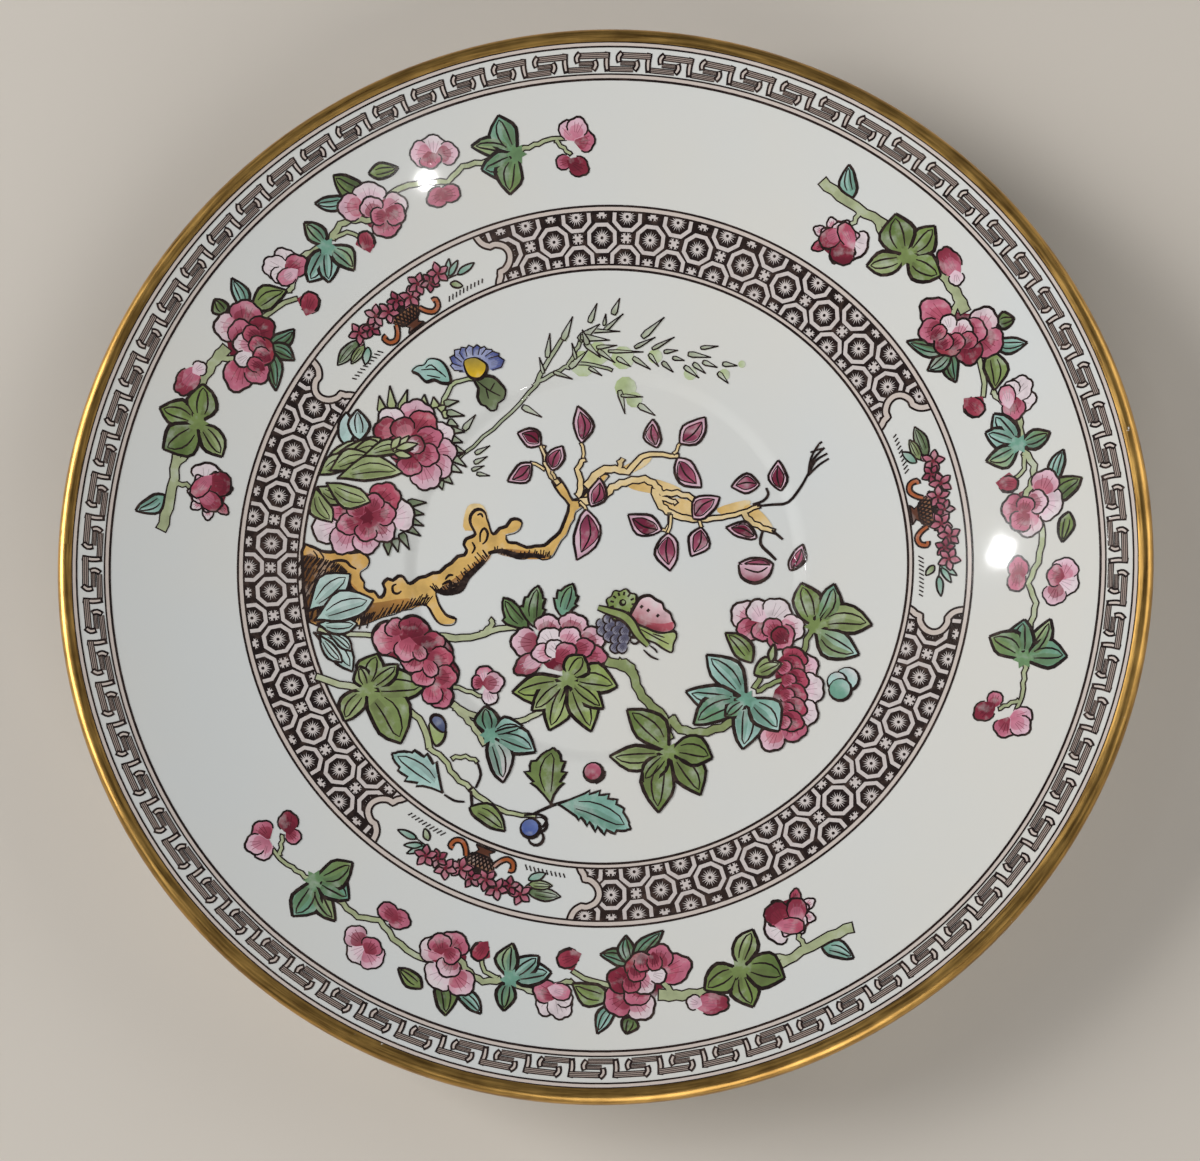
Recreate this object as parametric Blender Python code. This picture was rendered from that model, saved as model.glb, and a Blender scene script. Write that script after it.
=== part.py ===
"""A shallow china plate of saucer form, built up as it is made: the clay body, the clear glaze, the prints, the
enamel painting and the gilding, each as a solid of its own.

The origin is on the table under the middle of the plate, +Z is up, and every length is in metres.
"""

import math

import bmesh
import bpy

# ---- Clay body -------------------------------------------------------------------------------------------------------
RIM_RADIUS = 0.072
DISH_DEPTH = 0.0118
FLOOR_THICKNESS = 0.0030
LIP_THICKNESS = 0.0021
LIP_ROUND = 0.0008
LIP_ANGLE = math.radians(21.4)
SHOULDER_ANGLE = math.radians(5.5)
# The ring in the middle that a cup stands in.
WELL_RADIUS = 0.0252
WELL_STEP = 0.0006
WELL_STEP_RUN = 0.0024
# The ring underneath that the plate stands on.
FOOT_RADIUS = 0.0385
FOOT_WIDTH = 0.0030
FOOT_CHAMFER = 0.0005
FOOT_FILLET = 0.0016
RECESS_CLEARANCE = 0.0015

# ---- Fired layers ----------------------------------------------------------------------------------------------------
FIRED_GAP = 0.0003
GLAZE_THICKNESS = 0.00025
COLOUR_THICKNESS = 0.0002
BARE_FOOT_HEIGHT = 0.0009

# ---- Decoration, as radii, or as widths measured in from the rim -------------------------------------------------------
GILT_ON_FACE = 0.0004
GILT_UNDER_LIP = 0.0008
KEY_BORDER_INSET = 0.0023
KEY_BORDER_WIDTH = 0.0047
BAND_INNER_RADIUS = 0.0406
BAND_WIDTH = 0.0083
RESERVE_ANGLES = (math.radians(129), math.radians(9), math.radians(249))
RESERVE_SPAN = math.radians(37)
RESERVE_ORNAMENT_SPAN = math.radians(25)
RESERVE_ORNAMENT_INSET = 0.0016
# A spray is written out from its cut stem to its tip.
SPRAY_STARTS = (math.radians(176), math.radians(60), math.radians(-57))
SPRAY_SPAN = math.radians(82)
SPRAY_CLEARANCE = 0.0030
SPRAY_END_WIDTH = 0.0025

# ---- Fineness of the meshes ------------------------------------------------------------------------------------------
SEGMENTS = 48
FACE_STEPS = 6
UNDERSIDE_STEPS = 3
CURVE_STEPS = 3
RIBBON_STEP = 0.0040

BODY_RADIUS = RIM_RADIUS - FIRED_GAP - GLAZE_THICKNESS
FLOOR_TOP = RECESS_CLEARANCE + FLOOR_THICKNESS
SHOULDER_RADIUS = WELL_RADIUS + WELL_STEP_RUN
LIP_START = BODY_RADIUS - LIP_ROUND
FOOT_OUTER = FOOT_RADIUS + FOOT_WIDTH / 2
FOOT_INNER = FOOT_RADIUS - FOOT_WIDTH / 2
COLOUR_LIFT = FIRED_GAP + GLAZE_THICKNESS + FIRED_GAP

CLAY = ((0.86, 0.84, 0.80), 0.55, 0.0)
GLAZE = ((0.90, 0.90, 0.89), 0.08, 0.0)
GOLD = ((0.72, 0.47, 0.14), 0.25, 1.0)
SEPIA_PRINT = ((0.20, 0.11, 0.09), 0.25, 0.0)
ROSE_ENAMEL = ((0.55, 0.12, 0.22), 0.22, 0.0)
GREEN_ENAMEL = ((0.16, 0.27, 0.10), 0.22, 0.0)
OCHRE_ENAMEL = ((0.72, 0.47, 0.13), 0.22, 0.0)


def clear_scene():
    for thing in list(bpy.data.objects):
        bpy.data.objects.remove(thing, do_unlink=True)


def between(start, end, steps):
    """The even steps from start to end, both included."""
    return [start + (end - start) * step / steps for step in range(steps + 1)]


# ---- The shape that everything lies on -------------------------------------------------------------------------------
def face_height(radius):
    """Height of the clay's upper face: a flat well, a small step, then one curve that steepens towards the lip."""
    if radius <= WELL_RADIUS:
        return FLOOR_TOP
    if radius < SHOULDER_RADIUS:
        part = (radius - WELL_RADIUS) / WELL_STEP_RUN
        return FLOOR_TOP + WELL_STEP * part * part * (3 - 2 * part)
    run = BODY_RADIUS - SHOULDER_RADIUS
    part = (radius - SHOULDER_RADIUS) / run
    leaving = math.tan(SHOULDER_ANGLE) * run * part * (1 - part) ** 2
    arriving = math.tan(LIP_ANGLE) * run * part * part * (1 - part)
    rise = (DISH_DEPTH - WELL_STEP) * part * part * (3 - 2 * part)
    return FLOOR_TOP + WELL_STEP + leaving + rise - arriving


def face_slope(radius):
    """Rise over run of the upper face."""
    nudge = 0.00005
    inner = max(radius - nudge, 0.0)
    return (face_height(radius + nudge) - face_height(inner)) / (radius + nudge - inner)


def lifted(radius, lift):
    """Height of a layer that lies at this distance above the clay's face."""
    return face_height(radius) + lift * math.hypot(1, face_slope(radius))


def wall_thickness(radius):
    """The wall thins evenly from the foot ring to the lip."""
    part = min(max((radius - FOOT_RADIUS) / (LIP_START - FOOT_RADIUS), 0), 1)
    return FLOOR_THICKNESS + (LIP_THICKNESS - FLOOR_THICKNESS) * part


def under_height(radius):
    return lifted(radius, -wall_thickness(radius))


def rounded_corner(start, corner, end):
    """Points of a curve from start to end that is pulled towards the corner."""
    points = []
    for part in between(0, 1, CURVE_STEPS):
        weights = ((1 - part) ** 2, 2 * part * (1 - part), part * part)
        pairs = zip(start, corner, end)
        points.append(tuple(sum(w * value for w, value in zip(weights, trio)) for trio in pairs))
    return points


def face_outline():
    """The upper face as radius and height, from the middle to where the lip's round begins."""
    radii = [0.0] + between(WELL_RADIUS, SHOULDER_RADIUS, CURVE_STEPS)
    radii += between(SHOULDER_RADIUS, LIP_START, FACE_STEPS)[1:]
    return [(radius, face_height(radius)) for radius in radii]


def lip_outline():
    """The round of the lip, sheared so that it runs on from the slope of the face."""
    middle = (face_height(LIP_START) + under_height(LIP_START)) / 2
    half = (face_height(LIP_START) - under_height(LIP_START)) / 2
    points = []
    for angle in between(math.pi / 2, -math.pi / 2, CURVE_STEPS + 1)[1:-1]:
        out = LIP_ROUND * math.cos(angle)
        points.append((LIP_START + out, middle + out * math.tan(LIP_ANGLE) + half * math.sin(angle)))
    return points


def foot_fillet(radius):
    """The fillet at the top of the foot ring, limited by the height of the ring that is glazed."""
    return min(FOOT_FILLET, (under_height(radius) - BARE_FOOT_HEIGHT) * 2 / 3)


def underside_outline():
    """From the lip in to the foot ring, with the fillet at the top of the ring's outer side."""
    fillet = foot_fillet(FOOT_OUTER)
    radii = between(LIP_START, FOOT_OUTER + fillet, UNDERSIDE_STEPS)
    points = [(radius, under_height(radius)) for radius in radii]
    corner = (FOOT_OUTER, under_height(FOOT_OUTER))
    return points + rounded_corner(points[-1], corner, (FOOT_OUTER, corner[1] - fillet))[1:]


def recess_outline():
    """From the inner side of the foot ring to the middle of the underside."""
    fillet = foot_fillet(FOOT_INNER)
    corner = (FOOT_INNER, under_height(FOOT_INNER))
    ceiling_end = (FOOT_INNER - fillet, under_height(FOOT_INNER - fillet))
    points = rounded_corner((FOOT_INNER, corner[1] - fillet), corner, ceiling_end)
    radii = [SHOULDER_RADIUS, WELL_RADIUS, 0.0]
    return points + [(radius, under_height(radius)) for radius in radii]


def foot_outline():
    """The ring that stands on the table, with its flat face at height zero."""
    return [
        (FOOT_OUTER, FOOT_CHAMFER),
        (FOOT_OUTER - FOOT_CHAMFER, 0.0),
        (FOOT_INNER + FOOT_CHAMFER, 0.0),
        (FOOT_INNER, FOOT_CHAMFER),
    ]


def offset_outline(points, distance):
    """The outline moved out from the clay, square to itself. A point on the axis stays on it."""
    moved = []
    last = len(points) - 1
    for index, (radius, height) in enumerate(points):
        before = points[max(index - 1, 0)]
        after = points[min(index + 1, last)]
        along = (after[0] - before[0], after[1] - before[1])
        length = math.hypot(*along)
        out = 0.0 if radius == 0 else -along[1] / length * distance
        up = distance if radius == 0 and index == 0 else along[0] / length * distance
        moved.append((radius + out, height + up))
    return moved


# ---- Turning and laying down solids ------------------------------------------------------------------------------------
def material(name, finish):
    """A Principled material from a colour, a roughness and a metallic value."""
    colour, roughness, metallic = finish
    made = bpy.data.materials.get(name) or bpy.data.materials.new(name)
    made.use_nodes = True
    shader = made.node_tree.nodes["Principled BSDF"]
    shader.inputs["Base Color"].default_value = (*colour, 1)
    shader.inputs["Roughness"].default_value = roughness
    shader.inputs["Metallic"].default_value = metallic
    return made


def finished(name, shape, material_name, finish):
    """Closes the mesh, turns its faces outwards and makes it an object with its own finish."""
    bmesh.ops.remove_doubles(shape, verts=shape.verts[:], dist=1e-7)
    bmesh.ops.recalc_face_normals(shape, faces=shape.faces[:])
    mesh = bpy.data.meshes.new(name)
    shape.to_mesh(mesh)
    shape.free()
    mesh.shade_smooth()
    mesh.set_sharp_from_angle(angle=math.radians(35))
    mesh.materials.append(material(material_name, finish))
    piece = bpy.data.objects.new(name, mesh)
    bpy.context.scene.collection.objects.link(piece)
    return piece


def profile_points(shape, outline, angle):
    """Puts the outline's points in the upright plane at this angle round the axis."""
    across, along = math.cos(angle), math.sin(angle)
    return [shape.verts.new((radius * across, radius * along, height)) for radius, height in outline]


def turned(name, outline, material_name, finish):
    """A full turn of an outline. One that starts and ends on the axis is left open there, and any other is a loop."""
    shape = bmesh.new()
    points = profile_points(shape, outline, math.pi / SEGMENTS)
    for first, second in zip(points, points[1:]):
        shape.edges.new((first, second))
    if outline[0][0] > 0:
        shape.edges.new((points[-1], points[0]))
    bmesh.ops.spin(
        shape,
        geom=shape.verts[:] + shape.edges[:],
        cent=(0, 0, 0),
        axis=(0, 0, 1),
        dvec=(0, 0, 0),
        angle=math.tau,
        steps=SEGMENTS,
        use_merge=True,
    )
    return finished(name, shape, material_name, finish)


def turned_sector(name, outline, middle_angle, span, material_name, finish):
    """Part of a turn of a closed outline, with flat ends."""
    shape = bmesh.new()
    end = shape.faces.new(profile_points(shape, outline, middle_angle - span / 2))
    bmesh.ops.spin(
        shape,
        geom=[end],
        cent=(0, 0, 0),
        axis=(0, 0, 1),
        dvec=(0, 0, 0),
        angle=span,
        steps=max(2, round(span / math.tau * SEGMENTS)),
    )
    return finished(name, shape, material_name, finish)


def colour_layer(inner_radius, outer_radius, steps=2):
    """Outline of a thin layer of colour on the face between two radii."""
    radii = between(inner_radius, outer_radius, steps)
    under = [(radius, lifted(radius, COLOUR_LIFT)) for radius in radii]
    over = [(radius, lifted(radius, COLOUR_LIFT + COLOUR_THICKNESS)) for radius in radii]
    return under + over[::-1]


def smooth_route(stations, part):
    """The place at this part of a smooth curve through the stations, each x, y and half-width."""
    place = part * (len(stations) - 1)
    index = min(int(place), len(stations) - 2)
    local = place - index
    last = len(stations) - 1
    picked = [stations[min(max(index + step, 0), last)] for step in (-1, 0, 1, 2)]
    curve = []
    for before, start, end, after in zip(*picked):
        swing = (2 * before - 5 * start + 4 * end - after) * local * local
        twist = (3 * start - before - 3 * end + after) * local ** 3
        curve.append(start + ((end - before) * local + swing + twist) / 2)
    return curve


def painted_ribbon(name, stations, material_name, finish):
    """A thin patch of colour that follows a route over the face, its width changing from station to station."""
    length = sum(math.dist(a[:2], b[:2]) for a, b in zip(stations, stations[1:]))
    widest = max(station[2] for station in stations)
    steps_along = max(2, round(length / RIBBON_STEP))
    steps_across = max(2, round(2 * widest / RIBBON_STEP))
    shape = bmesh.new()
    bmesh.ops.create_grid(shape, x_segments=steps_along, y_segments=steps_across, size=0.5)
    nudge = 0.001
    for point in shape.verts:
        part = point.co.x + 0.5
        across = 2 * point.co.y
        x, y, half_width = smooth_route(stations, part)
        ahead = smooth_route(stations, min(part + nudge, 1))
        behind = smooth_route(stations, max(part - nudge, 0))
        along = (ahead[0] - behind[0], ahead[1] - behind[1])
        side = across * half_width / math.hypot(*along)
        x, y = x - along[1] * side, y + along[0] * side
        point.co = (x, y, lifted(math.hypot(x, y), COLOUR_LIFT))
    raised = bmesh.ops.extrude_face_region(shape, geom=shape.faces[:])
    for point in raised["geom"]:
        if isinstance(point, bmesh.types.BMVert):
            point.co.z = lifted(math.hypot(point.co.x, point.co.y), COLOUR_LIFT + COLOUR_THICKNESS)
    return finished(name, shape, material_name, finish)


# ---- The clay and its glaze --------------------------------------------------------------------------------------------
def china_body():
    outline = face_outline() + lip_outline() + underside_outline() + foot_outline() + recess_outline()
    turned("china_body", outline, "bone_china_clay", CLAY)


def glaze_layer(name, covered):
    """A coat of even thickness over part of the clay's outline."""
    inner = offset_outline(covered, FIRED_GAP)
    outer = offset_outline(covered, FIRED_GAP + GLAZE_THICKNESS)
    turned(name, inner + outer[::-1], "clear_glaze", GLAZE)


def glazes():
    """The glaze stops short of the table on both sides of the foot ring, where it was wiped before firing."""
    face = face_outline() + lip_outline() + underside_outline() + [(FOOT_OUTER, BARE_FOOT_HEIGHT)]
    glaze_layer("clear_glaze_coat", face)
    recess = recess_outline()
    inner = offset_outline([(FOOT_INNER, BARE_FOOT_HEIGHT)] + recess, FIRED_GAP)
    outer = offset_outline([(FOOT_INNER, BARE_FOOT_HEIGHT)] + recess, FIRED_GAP + GLAZE_THICKNESS)
    turned("foot_recess_glaze", inner[::-1] + outer, "clear_glaze", GLAZE)


# ---- Gold and prints -----------------------------------------------------------------------------------------------------
def gilt_edge_band():
    """The gold line round the lip, from its edge on the face to just under the lip."""
    start = LIP_START - GILT_ON_FACE
    covered = [(start, face_height(start)), (LIP_START, face_height(LIP_START))]
    covered += lip_outline()
    covered.append((LIP_START, under_height(LIP_START)))
    covered.append((LIP_START - GILT_UNDER_LIP, under_height(LIP_START - GILT_UNDER_LIP)))
    inner = offset_outline(covered, COLOUR_LIFT)
    outer = offset_outline(covered, COLOUR_LIFT + COLOUR_THICKNESS)
    turned("gilt_edge_band", inner + outer[::-1], "burnished_gold", GOLD)


def key_border_print():
    outer = RIM_RADIUS - KEY_BORDER_INSET
    turned("key_border_print", colour_layer(outer - KEY_BORDER_WIDTH, outer), "sepia_print", SEPIA_PRINT)


def diaper_band():
    """The printed band stands in three lengths, with a painted reserve between each two."""
    layer = colour_layer(BAND_INNER_RADIUS, BAND_INNER_RADIUS + BAND_WIDTH)
    span = math.tau / len(RESERVE_ANGLES) - RESERVE_SPAN
    for number, angle in enumerate(RESERVE_ANGLES, 1):
        middle = angle - math.pi / len(RESERVE_ANGLES)
        turned_sector(f"diaper_print_{number}", layer, middle, span, "sepia_print", SEPIA_PRINT)


def reserve_ornaments():
    inner = BAND_INNER_RADIUS + RESERVE_ORNAMENT_INSET
    outer = BAND_INNER_RADIUS + BAND_WIDTH - RESERVE_ORNAMENT_INSET
    layer = colour_layer(inner, outer)
    for number, angle in enumerate(RESERVE_ANGLES, 1):
        name = f"reserve_ornament_{number}"
        turned_sector(name, layer, angle, RESERVE_ORNAMENT_SPAN, "rose_enamel", ROSE_ENAMEL)


# ---- Enamel painting -------------------------------------------------------------------------------------------------------
def rim_sprays():
    """Each spray curves round the plain zone between the band and the key border, and narrows at both ends."""
    inner = BAND_INNER_RADIUS + BAND_WIDTH
    outer = RIM_RADIUS - KEY_BORDER_INSET - KEY_BORDER_WIDTH
    radius = (inner + outer) / 2
    full = (outer - inner) / 2 - SPRAY_CLEARANCE
    ends = min(full, SPRAY_END_WIDTH)
    half_widths = (ends, full, full, full, full, full, full, ends)
    for number, start in enumerate(SPRAY_STARTS, 1):
        stations = []
        for half_width, turn in zip(half_widths, between(0, SPRAY_SPAN, len(half_widths) - 1)):
            angle = start - turn
            stations.append((radius * math.cos(angle), radius * math.sin(angle), half_width))
        painted_ribbon(f"rim_spray_{number}", stations, "rose_enamel", ROSE_ENAMEL)


def centre_painting():
    """The scene inside the band. Its stations are x, y and half-width, as shares of the band's inner radius."""
    routes = {
        "tree_enamel": (
            (-0.91, -0.05, 0.070),
            (-0.68, -0.11, 0.075),
            (-0.46, 0.04, 0.120),
            (-0.22, 0.16, 0.160),
            (0.05, 0.28, 0.210),
            (0.33, 0.25, 0.220),
            (0.56, 0.17, 0.170),
            (0.66, 0.12, 0.080),
        ),
        "bamboo_enamel": (
            (-0.40, 0.41, 0.020),
            (-0.28, 0.57, 0.035),
            (-0.13, 0.72, 0.085),
            (0.05, 0.77, 0.095),
            (0.26, 0.71, 0.070),
            (0.46, 0.67, 0.045),
        ),
        "left_blossom_enamel": (
            (-0.84, 0.14, 0.075),
            (-0.75, 0.30, 0.140),
            (-0.62, 0.47, 0.125),
            (-0.53, 0.61, 0.090),
            (-0.42, 0.69, 0.085),
        ),
        "lower_bough_enamel": (
            (-0.85, -0.26, 0.050),
            (-0.71, -0.38, 0.130),
            (-0.42, -0.38, 0.140),
            (-0.10, -0.34, 0.170),
            (0.20, -0.46, 0.150),
            (0.50, -0.38, 0.170),
            (0.70, -0.24, 0.120),
        ),
        "trailing_sprig_enamel": (
            (-0.62, -0.66, 0.050),
            (-0.44, -0.76, 0.075),
            (-0.20, -0.81, 0.085),
            (0.05, -0.80, 0.070),
        ),
    }
    finishes = {
        "tree_enamel": ("ochre_enamel", OCHRE_ENAMEL),
        "bamboo_enamel": ("green_enamel", GREEN_ENAMEL),
        "left_blossom_enamel": ("rose_enamel", ROSE_ENAMEL),
        "lower_bough_enamel": ("green_enamel", GREEN_ENAMEL),
        "trailing_sprig_enamel": ("green_enamel", GREEN_ENAMEL),
    }
    for name, shares in routes.items():
        stations = [tuple(share * BAND_INNER_RADIUS for share in station) for station in shares]
        painted_ribbon(name, stations, *finishes[name])


clear_scene()
china_body()
glazes()
gilt_edge_band()
key_border_print()
diaper_band()
reserve_ornaments()
rim_sprays()
centre_painting()
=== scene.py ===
"""The looks of a china plate of saucer form, built round its CAD frame.

Drawn decoration is written in millimetres on the plan of the plate, with +Y at the top, and laid on the glaze.
"""

import math

import bmesh
import bpy
from mathutils import Matrix, Vector
from mathutils.geometry import delaunay_2d_cdt


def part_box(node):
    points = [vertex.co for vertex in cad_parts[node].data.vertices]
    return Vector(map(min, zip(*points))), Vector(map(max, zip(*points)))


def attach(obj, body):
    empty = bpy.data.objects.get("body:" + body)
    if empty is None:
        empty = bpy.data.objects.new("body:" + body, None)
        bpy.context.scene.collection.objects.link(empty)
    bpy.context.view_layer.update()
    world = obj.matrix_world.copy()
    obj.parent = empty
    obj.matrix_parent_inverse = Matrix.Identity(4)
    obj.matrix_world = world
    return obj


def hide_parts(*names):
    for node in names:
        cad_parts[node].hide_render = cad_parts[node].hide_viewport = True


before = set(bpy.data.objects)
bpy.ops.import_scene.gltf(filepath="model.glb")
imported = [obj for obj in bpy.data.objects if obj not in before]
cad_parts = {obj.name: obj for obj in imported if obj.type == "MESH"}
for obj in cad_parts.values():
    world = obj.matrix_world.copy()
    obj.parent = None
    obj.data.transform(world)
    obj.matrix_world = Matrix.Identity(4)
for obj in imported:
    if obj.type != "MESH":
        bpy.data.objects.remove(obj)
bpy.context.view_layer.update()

# --- Clay body ---
# The dish itself, of pale bone china turned on a wheel, with a cup ring pressed into its middle and a foot ring below.
# Only the wiped foot shows bare clay; the rest is under glaze.
MM = 0.001
TURN_STEPS = 192
FACE_STEPS = 44
CURVE_STEPS = 8
CAD_SEGMENTS = 48
SEAM_REACH = 0.0001 * MM
SHARP_ANGLE = math.radians(35)

RIM_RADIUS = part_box("clear_glaze_coat")[1].x / math.cos(math.pi / CAD_SEGMENTS)
DISH_DEPTH = 11.8 * MM
FLOOR_THICKNESS = 3.0 * MM
RECESS_CLEARANCE = 1.5 * MM
LIP_THICKNESS = 2.1 * MM
LIP_ROUND = 0.8 * MM
LIP_ANGLE = math.radians(21.4)
SHOULDER_ANGLE = math.radians(5.5)
WELL_RADIUS = 25.2 * MM
WELL_STEP = 0.6 * MM
WELL_STEP_RUN = 2.4 * MM
FOOT_RADIUS = 38.5 * MM
FOOT_WIDTH = 3.0 * MM
FOOT_CHAMFER = 0.5 * MM
FOOT_FILLET = 1.6 * MM
COAT = 0.55 * MM

BODY_RADIUS = RIM_RADIUS - COAT
FLOOR_TOP = RECESS_CLEARANCE + FLOOR_THICKNESS
SHOULDER_RADIUS = WELL_RADIUS + WELL_STEP_RUN
LIP_START = BODY_RADIUS - LIP_ROUND
FOOT_OUTER = FOOT_RADIUS + FOOT_WIDTH / 2
FOOT_INNER = FOOT_RADIUS - FOOT_WIDTH / 2


def between(start, end, steps):
    """The even steps from start to end, both included."""
    return [start + (end - start) * step / steps for step in range(steps + 1)]


def face_height(radius):
    """Height of the clay's upper face: a flat well, a small step, then one curve that steepens towards the lip."""
    if radius <= WELL_RADIUS:
        return FLOOR_TOP
    if radius < SHOULDER_RADIUS:
        part = (radius - WELL_RADIUS) / WELL_STEP_RUN
        return FLOOR_TOP + WELL_STEP * part * part * (3 - 2 * part)
    run = BODY_RADIUS - SHOULDER_RADIUS
    part = (radius - SHOULDER_RADIUS) / run
    leaving = math.tan(SHOULDER_ANGLE) * run * part * (1 - part) ** 2
    arriving = math.tan(LIP_ANGLE) * run * part * part * (1 - part)
    rise = (DISH_DEPTH - WELL_STEP) * part * part * (3 - 2 * part)
    return FLOOR_TOP + WELL_STEP + leaving + rise - arriving


def face_slope(radius):
    """Rise over run of the upper face."""
    nudge = 0.05 * MM
    inner = max(radius - nudge, 0.0)
    return (face_height(radius + nudge) - face_height(inner)) / (radius + nudge - inner)


def over_clay(radius, lift):
    """Height of a layer that lies at this distance above the clay's face."""
    return face_height(radius) + lift * math.hypot(1, face_slope(radius))


def wall_thickness(radius):
    """The wall thins evenly from the foot ring to the lip."""
    part = min(max((radius - FOOT_RADIUS) / (LIP_START - FOOT_RADIUS), 0), 1)
    return FLOOR_THICKNESS + (LIP_THICKNESS - FLOOR_THICKNESS) * part


def under_height(radius):
    return over_clay(radius, -wall_thickness(radius))


def rounded_corner(start, corner, end):
    """Points of a curve from start to end that is pulled towards the corner."""
    points = []
    for part in between(0, 1, CURVE_STEPS):
        weights = ((1 - part) ** 2, 2 * part * (1 - part), part * part)
        pairs = zip(start, corner, end)
        points.append(tuple(sum(w * value for w, value in zip(weights, trio)) for trio in pairs))
    return points


def face_outline():
    """The upper face as radius and height, from the middle to where the lip's round begins."""
    radii = [0.0, WELL_RADIUS / 3, WELL_RADIUS * 2 / 3] + between(WELL_RADIUS, SHOULDER_RADIUS, CURVE_STEPS)
    radii += between(SHOULDER_RADIUS, LIP_START, FACE_STEPS)[1:]
    return [(radius, face_height(radius)) for radius in radii]


def lip_outline():
    """The round of the lip, sheared so that it runs on from the slope of the face."""
    middle = (face_height(LIP_START) + under_height(LIP_START)) / 2
    half = (face_height(LIP_START) - under_height(LIP_START)) / 2
    points = []
    for angle in between(math.pi / 2, -math.pi / 2, 2 * CURVE_STEPS)[1:-1]:
        out = LIP_ROUND * math.cos(angle)
        points.append((LIP_START + out, middle + out * math.tan(LIP_ANGLE) + half * math.sin(angle)))
    return points


def underside_outline():
    """From the lip in to the foot ring, with the fillet at the top of the ring's outer side."""
    radii = between(LIP_START, FOOT_OUTER + FOOT_FILLET, FACE_STEPS // 2)
    points = [(radius, under_height(radius)) for radius in radii]
    corner = (FOOT_OUTER, under_height(FOOT_OUTER))
    return points + rounded_corner(points[-1], corner, (FOOT_OUTER, corner[1] - FOOT_FILLET))[1:]


def recess_outline():
    """From the inner side of the foot ring to the middle of the underside."""
    corner = (FOOT_INNER, under_height(FOOT_INNER))
    ceiling_end = (FOOT_INNER - FOOT_FILLET, under_height(FOOT_INNER - FOOT_FILLET))
    points = rounded_corner((FOOT_INNER, corner[1] - FOOT_FILLET), corner, ceiling_end)
    radii = between(ceiling_end[0], SHOULDER_RADIUS, CURVE_STEPS)[1:]
    radii += between(SHOULDER_RADIUS, WELL_RADIUS, CURVE_STEPS)[1:] + [WELL_RADIUS / 2, 0.0]
    return points + [(radius, under_height(radius)) for radius in radii]


def foot_outline():
    """The ring that stands on the table, its edges worn round."""
    outer = rounded_corner((FOOT_OUTER, 2 * FOOT_CHAMFER), (FOOT_OUTER, 0.0), (FOOT_OUTER - 2 * FOOT_CHAMFER, 0.0))
    inner = rounded_corner((FOOT_INNER + 2 * FOOT_CHAMFER, 0.0), (FOOT_INNER, 0.0), (FOOT_INNER, 2 * FOOT_CHAMFER))
    return outer + inner


def full_turn(shape):
    """Turns all the edges of the shape round the axis and closes its seam."""
    around = {"cent": (0, 0, 0), "axis": (0, 0, 1), "dvec": (0, 0, 0), "angle": math.tau}
    bmesh.ops.spin(shape, geom=shape.verts[:] + shape.edges[:], steps=TURN_STEPS, use_merge=True, **around)
    bmesh.ops.remove_doubles(shape, verts=shape.verts[:], dist=SEAM_REACH)
    bmesh.ops.recalc_face_normals(shape, faces=shape.faces[:])


def turned(name, outline):
    """A full turn of an outline. One that starts and ends on the axis stays open there, and any other is a loop."""
    shape = bmesh.new()
    points = [shape.verts.new((radius, 0, height)) for radius, height in outline]
    for first, second in zip(points, points[1:]):
        shape.edges.new((first, second))
    if outline[0][0] > 0:
        shape.edges.new((points[-1], points[0]))
    full_turn(shape)
    return finished(name, shape)


def finished(name, shape):
    """Makes the mesh an object in the scene, smooth but for its sharp edges."""
    mesh = bpy.data.meshes.new(name)
    shape.to_mesh(mesh)
    shape.free()
    mesh.shade_smooth()
    mesh.set_sharp_from_angle(angle=SHARP_ANGLE)
    piece = bpy.data.objects.new(name, mesh)
    bpy.context.scene.collection.objects.link(piece)
    return piece


def set_down(piece, finish, nodes_replaced, slot):
    """Gives a piece its finish, hangs it under the root body and hides the CAD parts that it replaces."""
    piece.data.materials.append(finish)
    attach(piece, "root")
    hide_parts(*nodes_replaced)


def tint(red, green, blue):
    """A colour as the shaders want it, from the 0 to 255 values of a paint chart."""
    chart = [value / 255 for value in (red, green, blue)]
    return tuple(v / 12.92 if v <= 0.04045 else ((v + 0.055) / 1.055) ** 2.4 for v in chart)


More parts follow.
